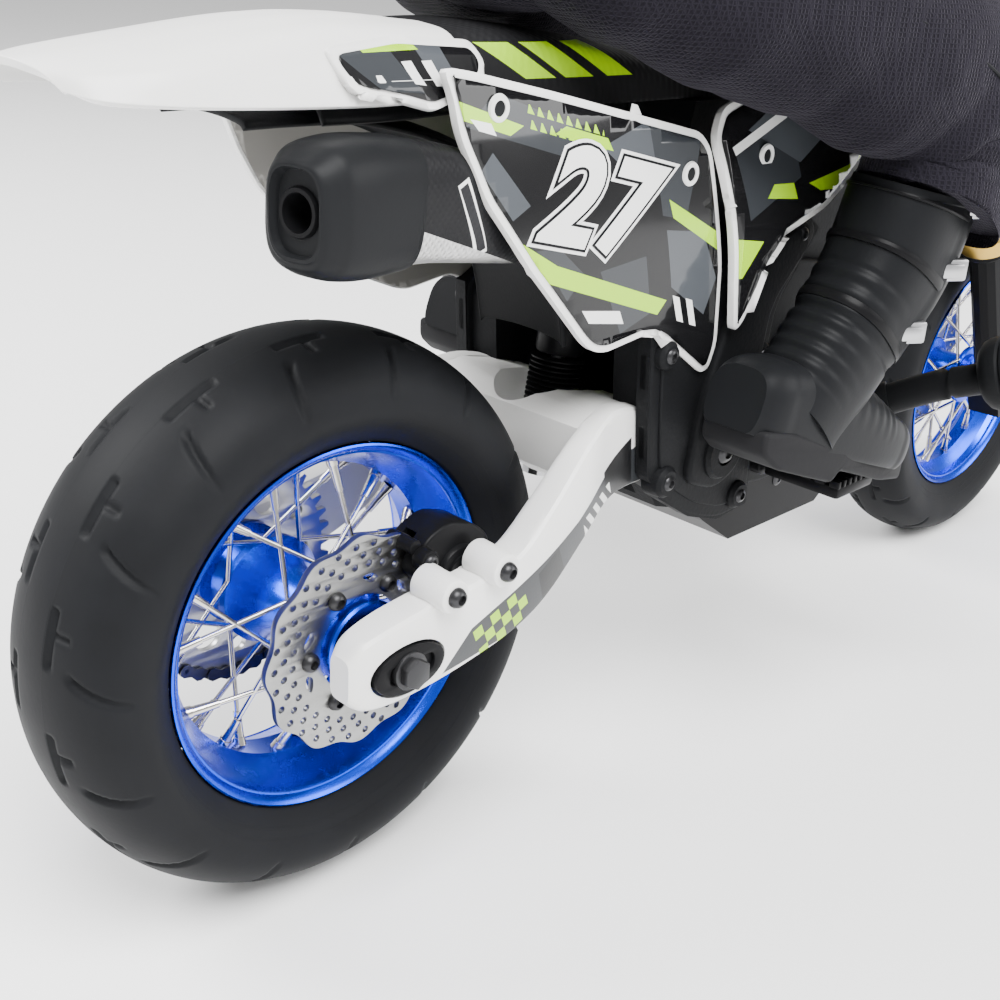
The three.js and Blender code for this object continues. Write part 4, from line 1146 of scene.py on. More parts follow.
def panel_shapes():
    grey, light = (0.028, 0.031, 0.035), (0.06, 0.066, 0.074)
    return [
        (grey, [(20, 206), (58, 196), (62, 203), (30, 213)]),
        (light, [(66, 199), (84, 186), (104, 192), (82, 204)]),
        (grey, [(84, 204), (90, 180), (100, 178), (106, 200)]),
        (light, [(24, 196), (34, 184), (40, 187), (28, 200)]),
        (grey, [(66, 168), (76, 150), (88, 154), (84, 170)]),
        (light, [(92, 176), (96, 160), (112, 150), (116, 160), (108, 174)]),
        (grey, [(42, 176), (54, 162), (60, 168), (50, 176)]),
        (BLACK, [(70, 161), (104, 148), (106, 151), (72, 164)]),
        (NEON, [(17, 212), (19.5, 207.4), (34, 203.4), (38.5, 205.4)]),
        (NEON, [(29, 180.6), (45, 168), (51, 170.8), (33, 180.6)]),
        (NEON, [(45, 168), (91, 153), (94.5, 156.6), (50, 171.4)]),
        (NEON, [(92.5, 184), (94.5, 179), (116.5, 167.5), (115, 173)]),
        (NEON, [(49, 203), (70, 197.8), (68, 201), (53, 204.6)]),
        (WHITE, [(97, 157.6), (100, 150), (103, 149), (100, 156.6)]),
        (WHITE, [(103, 156), (106, 148), (109, 147), (106, 155)]),
        (WHITE, [(60, 158.6), (63, 154.8), (77, 152.6), (75, 156.4)]),
        (WHITE, [(21.5, 207.7), (24, 205), (29.5, 203.6), (28, 206.4)]),
    ]


def shroud_shapes():
    grey, light = (0.028, 0.031, 0.035), (0.06, 0.066, 0.074)
    return [
        (grey, [(118, 196), (124, 176), (150, 186), (146, 206)]),
        (light, [(126, 200), (150, 190), (180, 204), (160, 214)]),
        (grey, [(170, 196), (200, 200), (220, 214), (190, 214)]),
        (NEON, [(132.5, 181.4), (147.8, 180), (146, 184.6), (136, 185)]),
        (NEON, [(154, 184), (160, 181.4), (178.6, 181), (178, 187.6)]),
        (NEON, [(182, 188), (192, 190), (206, 199), (190, 195)]),
        (NEON, [(108, 173), (112, 161), (122, 160), (131, 169.6)]),
        (WHITE, [(117.5, 196), (118.6, 193.8), (150.8, 204), (150, 206.4)]),
        (WHITE, [(150, 206.4), (150.8, 204), (199, 213.6), (198, 216)]),
        (WHITE, [(205, 213), (207.4, 207.6), (210, 208), (208, 214)]),
    ]


def film_finish(name, shapes):
    """Gloss printed film: shards, bands and a fine triangle pattern, with scuffs in the gloss."""
    finish = Finish(name, BLACK, 0.16, Coat_Weight=0.5, Coat_Roughness=0.04)
    x, _, z = finish.place()
    color = scattered(finish, x, z, shapes, BLACK)
    u = (x - 40) + (z - 205) * 0.2
    row = (z + x * 0.245 - 214.2) / 3.4
    tri = (u / 3.1).math("FRACT")
    low = row.math("FRACT")
    dots = tri.above(low * 0.5 + 0.12) * tri.below(low * -0.5 + 0.95) * low.above(0.12) * low.below(0.72)
    zone = u.above(0) * u.below(26) * row.above(0) * row.below(2)
    finish.paint(finish.mix(dots * zone, color, NEON))
    scuff = finish.noise(55.0, 5.0, 0.6)
    finish.set("Roughness", scuff * scuff * 0.3 + 0.08)
    finish.bump(finish.noise(140.0, 2.0), 0.03)
    return finish


def digits(text, size, offset, width_at, height_at, surface, lift, side):
    """A race number as a thin sheet laid on a panel. The side is -1 for the rider's right."""
    curve = bpy.data.curves.new("digits", "FONT")
    curve.body = text
    curve.size = size
    curve.offset = offset
    curve.shear = 0.28
    curve.align_x = "CENTER"
    curve.align_y = "CENTER"
    curve.space_character = 1.08
    curve.resolution_u = 5
    holder = bpy.data.objects.new("digits", curve)
    mesh = bpy.data.meshes.new_from_object(holder)
    bpy.data.objects.remove(holder)
    bpy.data.curves.remove(curve)
    bm = bmesh.new()
    bm.from_mesh(mesh)
    bpy.data.meshes.remove(mesh)
    lean = math.radians(-13)
    for v in bm.verts:
        u, w = v.co.x * 1.12, v.co.y
        across = (u * math.cos(lean) - w * math.sin(lean)) if side < 0 else -(
            u * math.cos(lean) + w * math.sin(lean))
        rise = (u * math.sin(lean) + w * math.cos(lean)) if side < 0 else (
            -u * math.sin(lean) + w * math.cos(lean))
        v.co = (width_at + across, 0, height_at + rise)
    bmesh.ops.remove_doubles(bm, verts=bm.verts, dist=0.01)
    cut_grid(bm, 3.0)
    for v in bm.verts:
        v.co.y = (surface(v.co.x, v.co.z) - lift) * -side
    return bm


def make_side_panels():
    film = film_finish("panel_film", panel_shapes())
    shroud_film = film_finish("shroud_film", shroud_shapes())
    for side, word in ((-1, "right"), (1, "left")):
        def placed(bm):
            return bm if side < 0 else flip(bm)
        rear = PANEL if side < 0 else PANEL_LEFT
        for outline, surface, node, label, paint in (
                (rear, panel_y, f"side_panel_{word}", "side", film),
                (SHROUD, shroud_y, f"shroud_{word}", "shroud", shroud_film)):
            shell = placed(draped(rounded(outline, 3, 3), surface))
            piece(shell, f"{label}_shell_{word}", "chassis", "white", (node,), wall=2.2,
                  bevel=0.5, merge=False)
            # A thin greyish tan sheet just inside the shell: painted shade standing in for the shaded inner face of
            # the white plastic
            lining = placed(draped(inset(rounded(outline, 3, 3), 0.6), lambda x, z: surface(x, z) + 2.4))
            piece(lining, f"{label}_lining_{word}", "chassis", "lining", (), wall=0.3, merge=False)
            decal = placed(draped(inset(rounded(outline, 3, 3), 1.9), lambda x, z: surface(x, z) - 0.28))
            piece(decal, f"{label}_film_{word}", "chassis", paint, (), wall=0.26,
                  merge=False)
        for layer, (offset, color) in enumerate(((2.6, "plate_white"), (1.75, "print_black"),
                                                 (1.05, "plate_white"))):
            number = digits(NUMBER, 33, offset, 62.5, 185, panel_y, 0.34 + layer * 0.12, side)
            piece(number, f"race_number_{word}_{layer}", "chassis", color, (), merge=False)
        studs, holes = [], []
        for x, z, surface in ((30.5, 209.6, panel_y), (101, 190, panel_y), (133, 193, shroud_y)):
            y = surface(x, z)
            ring = lathe([(1.9, -0.5), (3.1, -0.5), (3.4, 0.1), (3.1, 0.5), (1.9, 0.5)],
                         Vector((x, y - 0.4, z)), 28)
            studs.append(ring)
            holes.append(rod((x, y + 0.6, z), (x, y - 0.55, z), 2.0, segments=20))
        piece(placed(join(*studs)), f"post_rings_{word}", "chassis", "plate_white", ())
        piece(placed(join(*holes)), f"post_holes_{word}", "chassis", "cap_black", ())


FENDER = [
    [(-66.5, -15.5, 214.4), (-68.4, -11.4, 217.6), (-70, -6, 219.2), (-70.4, 0, 219.6), (-70, 6, 219.2),
     (-68.4, 11.4, 217.6), (-66.5, 15.5, 214.4)],
    [(-60, -22.4, 213), (-60, -18, 218.2), (-60, -9, 220.7), (-60, 0, 221.2), (-60, 9, 220.7),
     (-60, 18, 218.2), (-60, 22.4, 213)],
    [(-40, -27.4, 211.8), (-40, -22.6, 220.4), (-40, -10, 223.3), (-40, 0, 224.0), (-40, 10, 223.3),
     (-40, 22.6, 220.4), (-40, 27.4, 211.8)],
    [(-10, -29.2, 210.9), (-10, -23, 223.8), (-10, -10, 226.9), (-10, 0, 227.4), (-10, 10, 226.9),
     (-10, 23, 223.8), (-10, 29.2, 210.9)],
    [(10, -29.4, 211.0), (10, -22.6, 224.2), (10, -10, 227.2), (10, 0, 227.7), (10, 10, 227.2),
     (10, 22.6, 224.2), (10, 29.4, 211.0)],
    [(30, -28.6, 212.0), (30, -20.6, 223.6), (30, -10, 226.2), (30, 0, 226.2), (30, 10, 226.2),
     (30, 20.6, 223.6), (30, 28.6, 212.0)]]


def make_rear_fender():
    bm = woven_sheet(FENDER, 48, 64)
    piece(bm, "fender_shell", "chassis", "white", ("rear_fender",), wall=-1.8, bevel=0.4,
          merge=False)
    under = [[(x, y * 0.8, min(z, 217) - 4.2 - 3.0 * (1 - abs(y) / 30)) for x, y,
              z in row] for row in FENDER[3:]]
    piece(woven_sheet(under, 24, 30), "fender_liner", "chassis", "black_nylon", (), wall=-1.2,
          merge=False)
    flank = [(-12, 222.6), (-8, 214.0), (6, 211.4), (14, 209.4), (30, 213.5), (34, 219), (31, 223.6),
             (8, 224.8)]
    film = film_finish("tail_film", [
        ((0.028, 0.031, 0.035), [(-10, 222), (0, 214), (12, 213), (4, 224)]),
        ((0.06, 0.066, 0.074), [(12, 224), (18, 213), (24, 214), (20, 224)]),
        (NEON, [(-4, 223.4), (-2, 221.4), (14, 221.8), (12, 223.6)]),
        (WHITE, [(8, 219.5), (10, 215), (13, 214.6), (11, 219.6)]),
        (WHITE, [(14, 219.5), (16, 214.4), (19, 214.2), (17, 219.6)])])
    for side, word in ((-1, "right"), (1, "left")):
        def cheek(z):
            return -(31.4 - 0.62 * (z - 211.5) * (0.9 if z > 216 else 0.7))
        for outline, lift, paint, thick, label in (
                (flank, 0.0, "white", 1.6, "tail_cheek"), (inset(flank, 1.7), 0.3, film, 0.26, "tail_film")):
            sheet = draped(rounded(outline, 2, 3), lambda x, z, up=lift: cheek(z) - up, 3.0)
            piece(sheet if side < 0 else flip(sheet), f"{label}_{word}", "chassis", paint, (),
                  wall=thick, merge=False)


def make_inner_fender():
    rows = []
    for x, z in ((-26, 208.5), (-12, 208.6), (6, 208), (24, 204.4), (40, 199), (54, 189.6), (66, 178),
                 (74, 167),
                 (79, 156), (82.5, 142)):
        rows.append([(x, -17, z - 2.6), (x, -15, z - 1), (x, -8, z), (x, 0, z + 0.3), (x, 8, z),
                     (x, 15, z - 1),
                     (x, 17, z - 2.6)])
    piece(woven_sheet(rows, 24, 60), "mud_guard", "chassis", "black_nylon", ("inner_fender",),
          wall=-1.6, bevel=0.4, merge=False)


def make_seat():
    rows = []
    for x, top, half in ((30, 226.4, 16), (46, 226.6, 18.6), (62, 225.4, 19.6), (86, 222.6, 20),
                         (112, 219, 19),
                         (128, 220.4, 17.6), (138, 222.8, 16.6)):
        rows.append([(x, -half - 4.4, 207), (x, -half - 3.4, 213), (x, -half - 0.6, top - 3.4),
                     (x, -half * 0.62, top - 0.6),
                     (x, 0, top), (x, half * 0.62, top - 0.6), (x, half + 0.6, top - 3.4), (x, half + 3.4,
                                                                                            213),
                     (x, half + 4.4, 207)])
    seat = Finish("seat_cover", (0.009, 0.009, 0.01), 0.6)
    x, y, z = seat.place()
    pips = ((x * 2.4).sine() * (y * 2.4).sine()) * 0.5 + 0.5
    color = seat.mix(seat.noise(40.0, 4.0), (0.006, 0.006, 0.0066), (0.014, 0.014, 0.015))
    side_zone = abs(y).above(15.5) * z.above(214)
    lean = x + (z - 218) * 1.8
    for start in (46, 60, 76):
        stripe = lean.above(start) * lean.below(start + 10.5) * side_zone * z.below(222.4)
        color = seat.mix(stripe, color, NEON)
    seat.paint(color)
    seat.set("Roughness", seat.noise(220.0, 3.0) * 0.2 + 0.45)
    seat.bump(pips, 0.12)
    made = piece(woven_sheet(rows, 40, 60), "seat_pad", "chassis", seat, ("seat",), wall=-2.4,
                 merge=False)
    tank_rows = []
    for x, top, half in ((140, 224, 15), (156, 229, 19), (176, 235.5, 22), (200, 240, 23), (224, 243, 21),
                         (240, 244.6, 17), (247, 243.6, 14)):
        tank_rows.append([(x, -half - 3, 212), (x, -half, top - 6), (x, -half * 0.6, top - 1), (x, 0, top),
                          (x, half * 0.6, top - 1), (x, half, top - 6), (x, half + 3, 212)])
    piece(woven_sheet(tank_rows, 36, 40), "tank_shell", "chassis", "smooth_black", ("tank_cover",),
          wall=-1.8, merge=False)
    cap = lathe([(0.01, 0), (6.2, 0), (6.6, 0.8), (6.2, 2.4), (4.6, 3.2), (0.01, 3.2)], (0, 0, 0), 36,
                closed=False)
    bmesh.ops.transform(cap, matrix=Matrix.Translation((206, 0, 240.6)) @ Matrix.Rotation(math.pi / 2, 4,
                                                                                          "X"),
                        verts=cap.verts)
    piece(cap, "tank_cap", "chassis", "cap_black", ())


def make_muffler():
    sleeve = Finish("silencer_sleeve", (0.02, 0.02, 0.022), 0.4)
    x, _, z = sleeve.place()
    weave = ((x + z).math("PINGPONG", 1.1) * (x - z).math("PINGPONG", 1.1))
    lower = (z + x * 0.35 - 186.5).below(0)
    base = sleeve.mix(sleeve.noise(60.0, 4.0), (0.007, 0.007, 0.008), (0.016, 0.016, 0.017))
    band = sleeve.polygon(x, z, [(17, 193.4), (26, 175), (30, 176.6), (21, 195)])
    edge = sleeve.polygon(x, z, [(17.8, 192.6), (26.6, 176.4), (29.2, 177.4), (20.6, 193.8)])
    base = sleeve.mix(band, base, WHITE)
    base = sleeve.mix(edge, base, (0.02, 0.02, 0.022))
    sleeve.paint(sleeve.mix(lower, base, sleeve.mix(sleeve.noise(90.0, 4.0), (0.5, 0.5, 0.5), (0.74, 0.73,
                                                                                               0.72))))
    sleeve.set("Metallic", lower)
    sleeve.set("Roughness", sleeve.noise(180.0, 3.0) * 0.15 + 0.26)
    sleeve.bump(weave, 0.05)
    body = limb([(-16, -33, 190.4, 11.2, 14.6), (-4, -30.4, 190.2, 10.6, 14.4), (12, -28.6, 189, 9.6, 13.8),
                 (32, -27.2, 185, 8.4, 12.6), (50, -25.8, 180.4, 6.8, 10.6), (58, -25.2, 178, 5,
                                                                              7.6)], 64, 40, 3.4)
    piece(body, "silencer_body", "chassis", sleeve, ("muffler",), sharp=45)
    pipe = tube([(54, -25.6, 179), (76, -25, 170), (98, -27.6, 154), (108, -29.4, 142)], 4, 40, 24)
    piece(pipe, "exhaust_pipe", "chassis", "steel", ())
    cap = limb([(-27.4, -35.3, 191, 7.4, 10), (-26.4, -35.1, 191, 8.8, 11.4), (-24, -34.6, 190.9, 10.2, 13),
                (-20.5, -33.9, 190.8, 11.4, 14.4), (-12, -32.4, 190.5, 12, 15.3), (0, -30.6, 190, 11.4, 14.9),
                (3, -30.2, 189.8, 11.0, 14.6)], 72, 34, 3.2)
    outlet = rod((-34, -36.3, 191.4), (-15, -33.2, 190.7), 5.2, segments=48)
    dish = limb([(-31, -35.9, 191.2, 8, 10.4), (-25.4, -34.9, 191, 6.2, 8.8)], 48, 4, 3.2)
    cap = carve(cap, "cap", [outlet, dish])
    piece(cap, "silencer_cap", "chassis", "cap_black", ("muffler_cap",), sharp=40, bevel=0.4)
    stub = lathe([(4.2, -9), (5.1, -9), (5.5, -8.2), (5.5, 0), (4.2, 0)], (0, 0, 0), 48)
    aim = Vector((-12, -2, 0.5)).to_track_quat("-Y", "Z").to_matrix().to_4x4()
    bmesh.ops.transform(stub, matrix=Matrix.Translation((-17.6, -33.6, 190.8)) @ aim, verts=stub.verts)
    piece(stub, "silencer_outlet", "chassis", "smooth_black", ())


# Frame halves, covers, skid plate and bars

CASE = [(92, 146), (94, 124), (97, 103), (104, 94), (120, 84), (136, 78.5), (152, 80), (150, 112), (154, 146),
        (172, 168), (160, 176), (118, 160)]


def column(profile, x, y, steps=48):
    """Spins (radius, height) points about an upright line."""
    bm = lathe(profile, (0, 0, 0), steps)
    bmesh.ops.transform(bm, matrix=Matrix.Translation((x, y, 0)) @ Matrix.Rotation(math.pi / 2, 4, "X"),
                        verts=bm.verts)
    return bm


def frame_half(node):
    """A frame half with its edges eased, from the outline of the solid it stands for."""
    source = frame["nodes"][node]
    bm = bmesh.new()
    bm.from_mesh(source.data)
    bmesh.ops.transform(bm, matrix=BIKE.inverted() @ source.matrix_world, verts=bm.verts)
    bmesh.ops.remove_doubles(bm, verts=bm.verts, dist=1e-3)
    bmesh.ops.dissolve_limit(bm, angle_limit=math.radians(1), verts=bm.verts, edges=bm.edges)
    return bm


def make_cases():
    grain = mottled("moulded_case", (0.0075, 0.0078, 0.0086), 0.56, grain=820.0, depth=0.12)
    for side, word in ((-1, "right"), (1, "left")):
        def placed(bm):
            return bm if side < 0 else flip(bm)
        piece(frame_half(f"chassis_{word}"), f"frame_half_{word}", "chassis", grain, (f"chassis_{word}",),
              bevel=0.6, sharp=30)
        cover = flat([rounded(CASE, 6, 6)], -39.6, -34.6, 1.5, 4)
        raised = flat([rounded(inset(CASE, 4.6), 5, 6)], -40.6, -38.6, 0.6, 3)
        spine = flat([rounded([(112, 98), (128, 92), (140, 98), (143, 126), (146, 148), (163, 165),
                               (157, 171),
                               (136, 162), (124, 146), (116, 122)], 6, 6)], -43.2, -39.5, 1.4, 4)
        wall = flat([rounded(inset(CASE, 2.6), 5, 5)], -35, -24.1)
        piece(placed(join(cover, raised, wall)), f"case_cover_{word}", "chassis", grain, (),
              sharp=34)
        piece(placed(spine), f"case_spine_{word}", "chassis", grain, (), sharp=34)
        bosses, heads = [], []
        for x, z, radius in ((128, 105, 8.4), (104, 100, 4.4), (143, 86, 4.2), (98.5, 140, 3.8),
                             (158, 168, 4.0),
                             (131, 158, 3.8), (146, 132, 3.6)):
            top = -45.2 if radius > 8 else -42.6
            bosses.append(lathe([(0.01, -36), (radius + 0.8, -36), (radius + 0.4, top + 1.2),
                                 (radius - 0.6, top),
                                 (radius * 0.5, top), (radius * 0.5, top + 1), (0.01, top + 1)],
                                Vector((x, 0, z)), 40))
            heads.append(screw_head((x, top + 1.0, z), 2.5 if radius < 8 else 3.6, 1.9))
        piece(placed(join(*bosses)), f"case_bosses_{word}", "chassis", grain, (), sharp=34)
        piece(placed(join(*heads)), f"case_screws_{word}", "chassis", "screw", ())
        engine = flat([rounded([(150, 82), (176, 78), (206, 82), (222, 96), (226, 128), (214, 150),
                                (176, 156),
                                (152, 146)], 8, 6)], -29.5, -23.9, 1.6, 4)
        clutch = lathe([(0.01, -24), (24, -24), (24, -31), (22.4, -33), (19, -33.6), (18, -32.4), (9, -32.4),
                        (8, -33.4), (0.01, -33.4)], Vector((188, 0, 112)), 72)
        piece(placed(join(engine, clutch)), f"engine_case_{word}", "chassis", "black_nylon", (),
              sharp=34)
        cylinder = join(*[block((176, -22 - (i % 2) * 0.8, 158 + i * 4.4), (216, -19, 160.4 + i * 4.4), 0.7)
                          for i in range(9)])
        piece(placed(cylinder), f"cooling_fins_{word}", "chassis", "smooth_black", ())
        studs = [screw_head((188 + 21 * math.cos(a), -32.6, 112 + 21 * math.sin(a)), 1.8, 1.4)
                 for a in (TURN * i / 6 for i in range(6))]
        skid = [screw_head((x, -27.9, z), 2.7, 0.9) for x, z in ((152, 76), (188, 76), (224, 78))]
        piece(placed(join(*studs, *skid)), f"engine_screws_{word}", "chassis", "screw", ())
        peg = join(block((159, -67.6, 88.4), (181, -39.8, 92.6), 1.2),
                   rod((160, -39.4, 91.4), (160, -30, 91.4), 3.4, bevel=0.4),
                   rod((180, -39.4, 90), (180, -24.5, 90), 3.4, bevel=0.4),
                   *[block((159 + i * 3.2, -67.6 + j * 5.2, 92), (160.6 + i * 3.2, -64 + j * 5.2, 94.6), 0.4)
                     for i in range(7) for j in range(5) if i in (0, 6) or j in (0, 4)])
        piece(placed(peg), f"peg_{word}", "chassis", "smooth_black", (f"foot_peg_{word}",))
        bar = tube([(206, -25.6, 96), (208, -31, 96.6), (216, -42, 101), (224, -62, 112), (227, -80, 119.6)],
                   5.4, 40, 28)
        aim = Vector((2.5, -15, 6)).to_track_quat("-Y", "Z").to_matrix().to_4x4()
        puck = lathe([(0.01, 1), (9.5, 1), (11.4, -0.6), (12.4, -3), (12.4, -5.6), (11.6, -6.4), (12.4, -7.2),
                      (12.4, -11), (11, -13.6), (8.4, -14.6), (4.4, -14.6), (4.0, -12.6), (0.01, -12.6)], (0,
                                                                                                           0, 0), 56)
        bmesh.ops.transform(puck, matrix=Matrix.Translation((227, -79, 120)) @ aim, verts=puck.verts)
        clamp = join(block((200, -31, 90.4), (213, -24.2, 101.8), 1.4),
                     limb([(213, -37, 99.4, 6.6, 6.6), (219, -49, 104.6, 6.6, 6.6)], 32, 3))
        piece(placed(join(bar, puck, clamp)), f"crash_guard_{word}", "chassis", "black_nylon",
              (f"crash_bar_{word}",),
              sharp=40)


def make_shock():
    top, foot = SHOCK_TOP, Vector((94, 0, 98))
    down = (foot - top).normalized()
    aim = down.to_track_quat("-Z", "X").to_matrix().to_4x4()
    folds = [(5.9, -36.6)]
    for i in range(10):
        h = -37.0 - i * 1.5
        folds += [(8.3, h - 0.3), (8.3, h - 0.75), (6.6, h - 1.2)]
    folds += [(5.9, -52.2), (5.6, -52.2), (5.6, -36.6)]
    boot = column(folds, 0, 0, 48)
    bmesh.ops.transform(boot, matrix=Matrix.Translation(top) @ aim, verts=boot.verts)
    piece(boot, "shock_bellows", "shock_upper", "smooth_black", ("shock_spring",), sharp=50)
    body = column([(2.9, 4), (6, 4), (6.6, 2), (6.6, -8), (7.4, -9), (7.4, -20), (7.0, -20.6), (7.4, -21.2),
                   (7.4, -34.6), (6.8, -35.8), (2.9, -35.8)], 0, 0, 48)
    bmesh.ops.transform(body, matrix=Matrix.Translation(top) @ aim, verts=body.verts)
    piece(body, "shock_cylinder", "shock_upper", "smooth_black", ("shock_body",), sharp=34)


# Fork and front end, in a frame whose Z is the steering axis

def make_fork():
    for side, word in ((-1, "right"), (1, "left")):
        y = side * 26
        tube_profile = [(7.1, -84.8), (10.2, -85.6), (10.6, -84.6), (10.6, -79), (10.0, -78), (10.0, -77),
                        (9.2, -76), (8.8, -74.6), (8.8, -36), (9.3, -35), (9.3, -20), (8.8, -19), (8.8, 27.6),
                        (8.2, 29.4), (6.4, 29.9), (3.6, 29.9), (3.2, 28.6), (0.01, 28.6), (0.01, 24), (7.1,
                                                                                                       24)]
        piece(column(tube_profile, 9, y, 56), f"fork_upper_{word}", "steering", "gold",
              (f"fork_tube_{word}",),
              place=FORK, sharp=26)
        seal = column([(6.6, -88.6), (8.6, -88.6), (9.4, -87.6), (9.4, -86), (6.6, -86)], 9, y, 48)
        piece(seal, f"fork_seal_{word}", "steering", "smooth_black", (), place=FORK, sharp=26)
        film = film_finish(f"fork_film_{word}", [])
        x, _, z = film.place()
        lean = (z + x * 0.9).math("PINGPONG", 7.5)
        film.paint(film.mix(lean.above(5.2), film.mix(lean.above(4.4), BLACK, WHITE), NEON))
        sleeve = []
        for i in range(25):
            angle = math.radians(-75 + 150 * i / 24)
            sleeve.append([(9 + 9.6 * math.cos(angle), y + 9.6 * math.sin(angle), w) for w in (-74, -56,
                                                                                               -38)])
        piece(woven_sheet(sleeve, 10, 24), f"fork_wrap_{word}", "steering", film, (),
              place=FORK,
              wall=0.5, merge=False)
    rows = []
    for w, half, u in ((45, 15, 24.4), (34, 24.6, 25.4), (14, 26.6, 26.4), (-6, 25, 28), (-18, 18.6, 29.6),
                       (-23, 10, 30.4)):
        rows.append([(u, -half, w), (u + 3.6, -half * 0.8, w), (u + 6, 0, w), (u + 3.6, half * 0.8, w),
                     (u, half, w)])
    piece(woven_sheet(rows, 30, 30), "number_board", "steering", "white", ("front_plate",),
          place=FORK, wall=-1.8, bevel=0.4, merge=False)
    rows = []
    for u, w, half in ((-53, -66, 8), (-48, -60, 11.4), (-14, -42, 14.6), (12, -37.5, 16.4), (44, -44, 16.4),
                       (76, -61, 13.4), (90, -74, 9), (93, -77.6, 5)):
        rows.append([(u, -half - 1, w - 7), (u, -half, w - 3.4), (u, -half * 0.6, w - 0.8), (u, 0, w),
                     (u, half * 0.6, w - 0.8), (u, half, w - 3.4), (u, half + 1, w - 7)])
    piece(woven_sheet(rows, 30, 48), "front_guard", "steering", "white", ("front_fender",),
          place=FORK, wall=-1.8, bevel=0.4, merge=False)
    bar = tube([(-6.2, -95, 44), (-6, -90, 44), (-2, -66, 47), (4, -40, 44), (6, -18, 36), (6, 0, 35.4),
                (6, 18, 36), (4, 40, 44), (-2, 66, 47), (-6, 90, 44), (-6.2, 95, 44)], 2.7, 90, 20)
    pad = block((2.4, -13, 21.4), (11.4, 13, 38.6), 2)
    lever = []
    for side in (-1, 1):
        lever.append(tube([(4, side * 48, 44), (10, side * 56, 45), (9, side * 72, 44), (7, side * 88, 42)],
                          1.3, 24, 12))
        lever.append(block((-3.4, side * 47 - 4, 40), (7, side * 47 + 4, 49), 1.2))
    piece(join(bar, pad, *lever), "handlebar_set", "steering", "smooth_black", ("handlebar",),
          place=FORK)
    crown = []
    for w0, w1 in ((16, 23), (-33, -24)):
        outline = rounded([(-8, -14), (20, -38), (22, -26), (16, -12), (16, 12), (22, 26), (20, 38),
                           (-8, 14)], 6, 6)
        plate = flat([outline, circle(9, -26, 9.3, 40), circle(9, 26, 9.3, 40)], -w1, -w0, 0.8, 3)
        bmesh.ops.rotate(plate, cent=(0, 0, 0), matrix=Matrix.Rotation(math.pi / 2, 3, "X"),
                         verts=plate.verts)
        bmesh.ops.scale(plate, vec=(1, 1, -1), verts=plate.verts)
        bmesh.ops.reverse_faces(plate, faces=plate.faces)
        low = min(v.co.z for v in plate.verts)
        bmesh.ops.translate(plate, vec=(0, 0, w0 - low), verts=plate.verts)
        crown.append(plate)
    steerer = column([(0.01, -33), (4.0, -33), (4.0, 23), (6.6, 23), (6.6, 26), (5.6, 27), (0.01, 27)], 0, 0,
                     40)
    piece(join(*crown, steerer), "triple_clamps", "steering", "smooth_black", ("lower_clamp",),
          place=FORK, sharp=32)


# Rider

THIGH = [(58, -18, 254, 20, 20), (80, -30, 246, 23.5, 25), (106, -42, 240, 24, 28), (138, -54, 231, 23, 29.5),
         (168, -64, 219, 22, 29), (187, -68.5, 206, 21.5, 28), (188, -69, 193, 21, 27.5), (184, -68.6, 181,
                                                                                           20.6, 27.5)]


def crease(t, angle, places):
    """Soft folds that run round a limb, deepest on one side."""
    out = 1.0
    for at, wide, deep, facing, lean in places:
        offset = t - at - lean * math.sin(angle)
        out += deep * math.exp(-(offset / wide) ** 2) * max(0.0, 0.35 + 0.65 * math.cos(angle - facing))
    return out


def cloth_limb(stations, sides, rings, folds, grain, seed, ends=True):
    """A limb of cloth with creases and a gentle unevenness."""
    bm = limb(stations, sides, rings, 2.15, lambda t, a: crease(t, a, folds), ends)
    for v in bm.verts:
        drift = noise.noise(Vector(v.co) / grain + Vector((seed, 0, 0)))
        fine = noise.noise(Vector(v.co) / (grain * 0.4) + Vector((seed, 7, 0)))
        away = Vector(v.normal) if v.normal.length else Vector((0, 0, 1))
        v.co += away * (drift * 0.9 + fine * 0.35)
    return bm


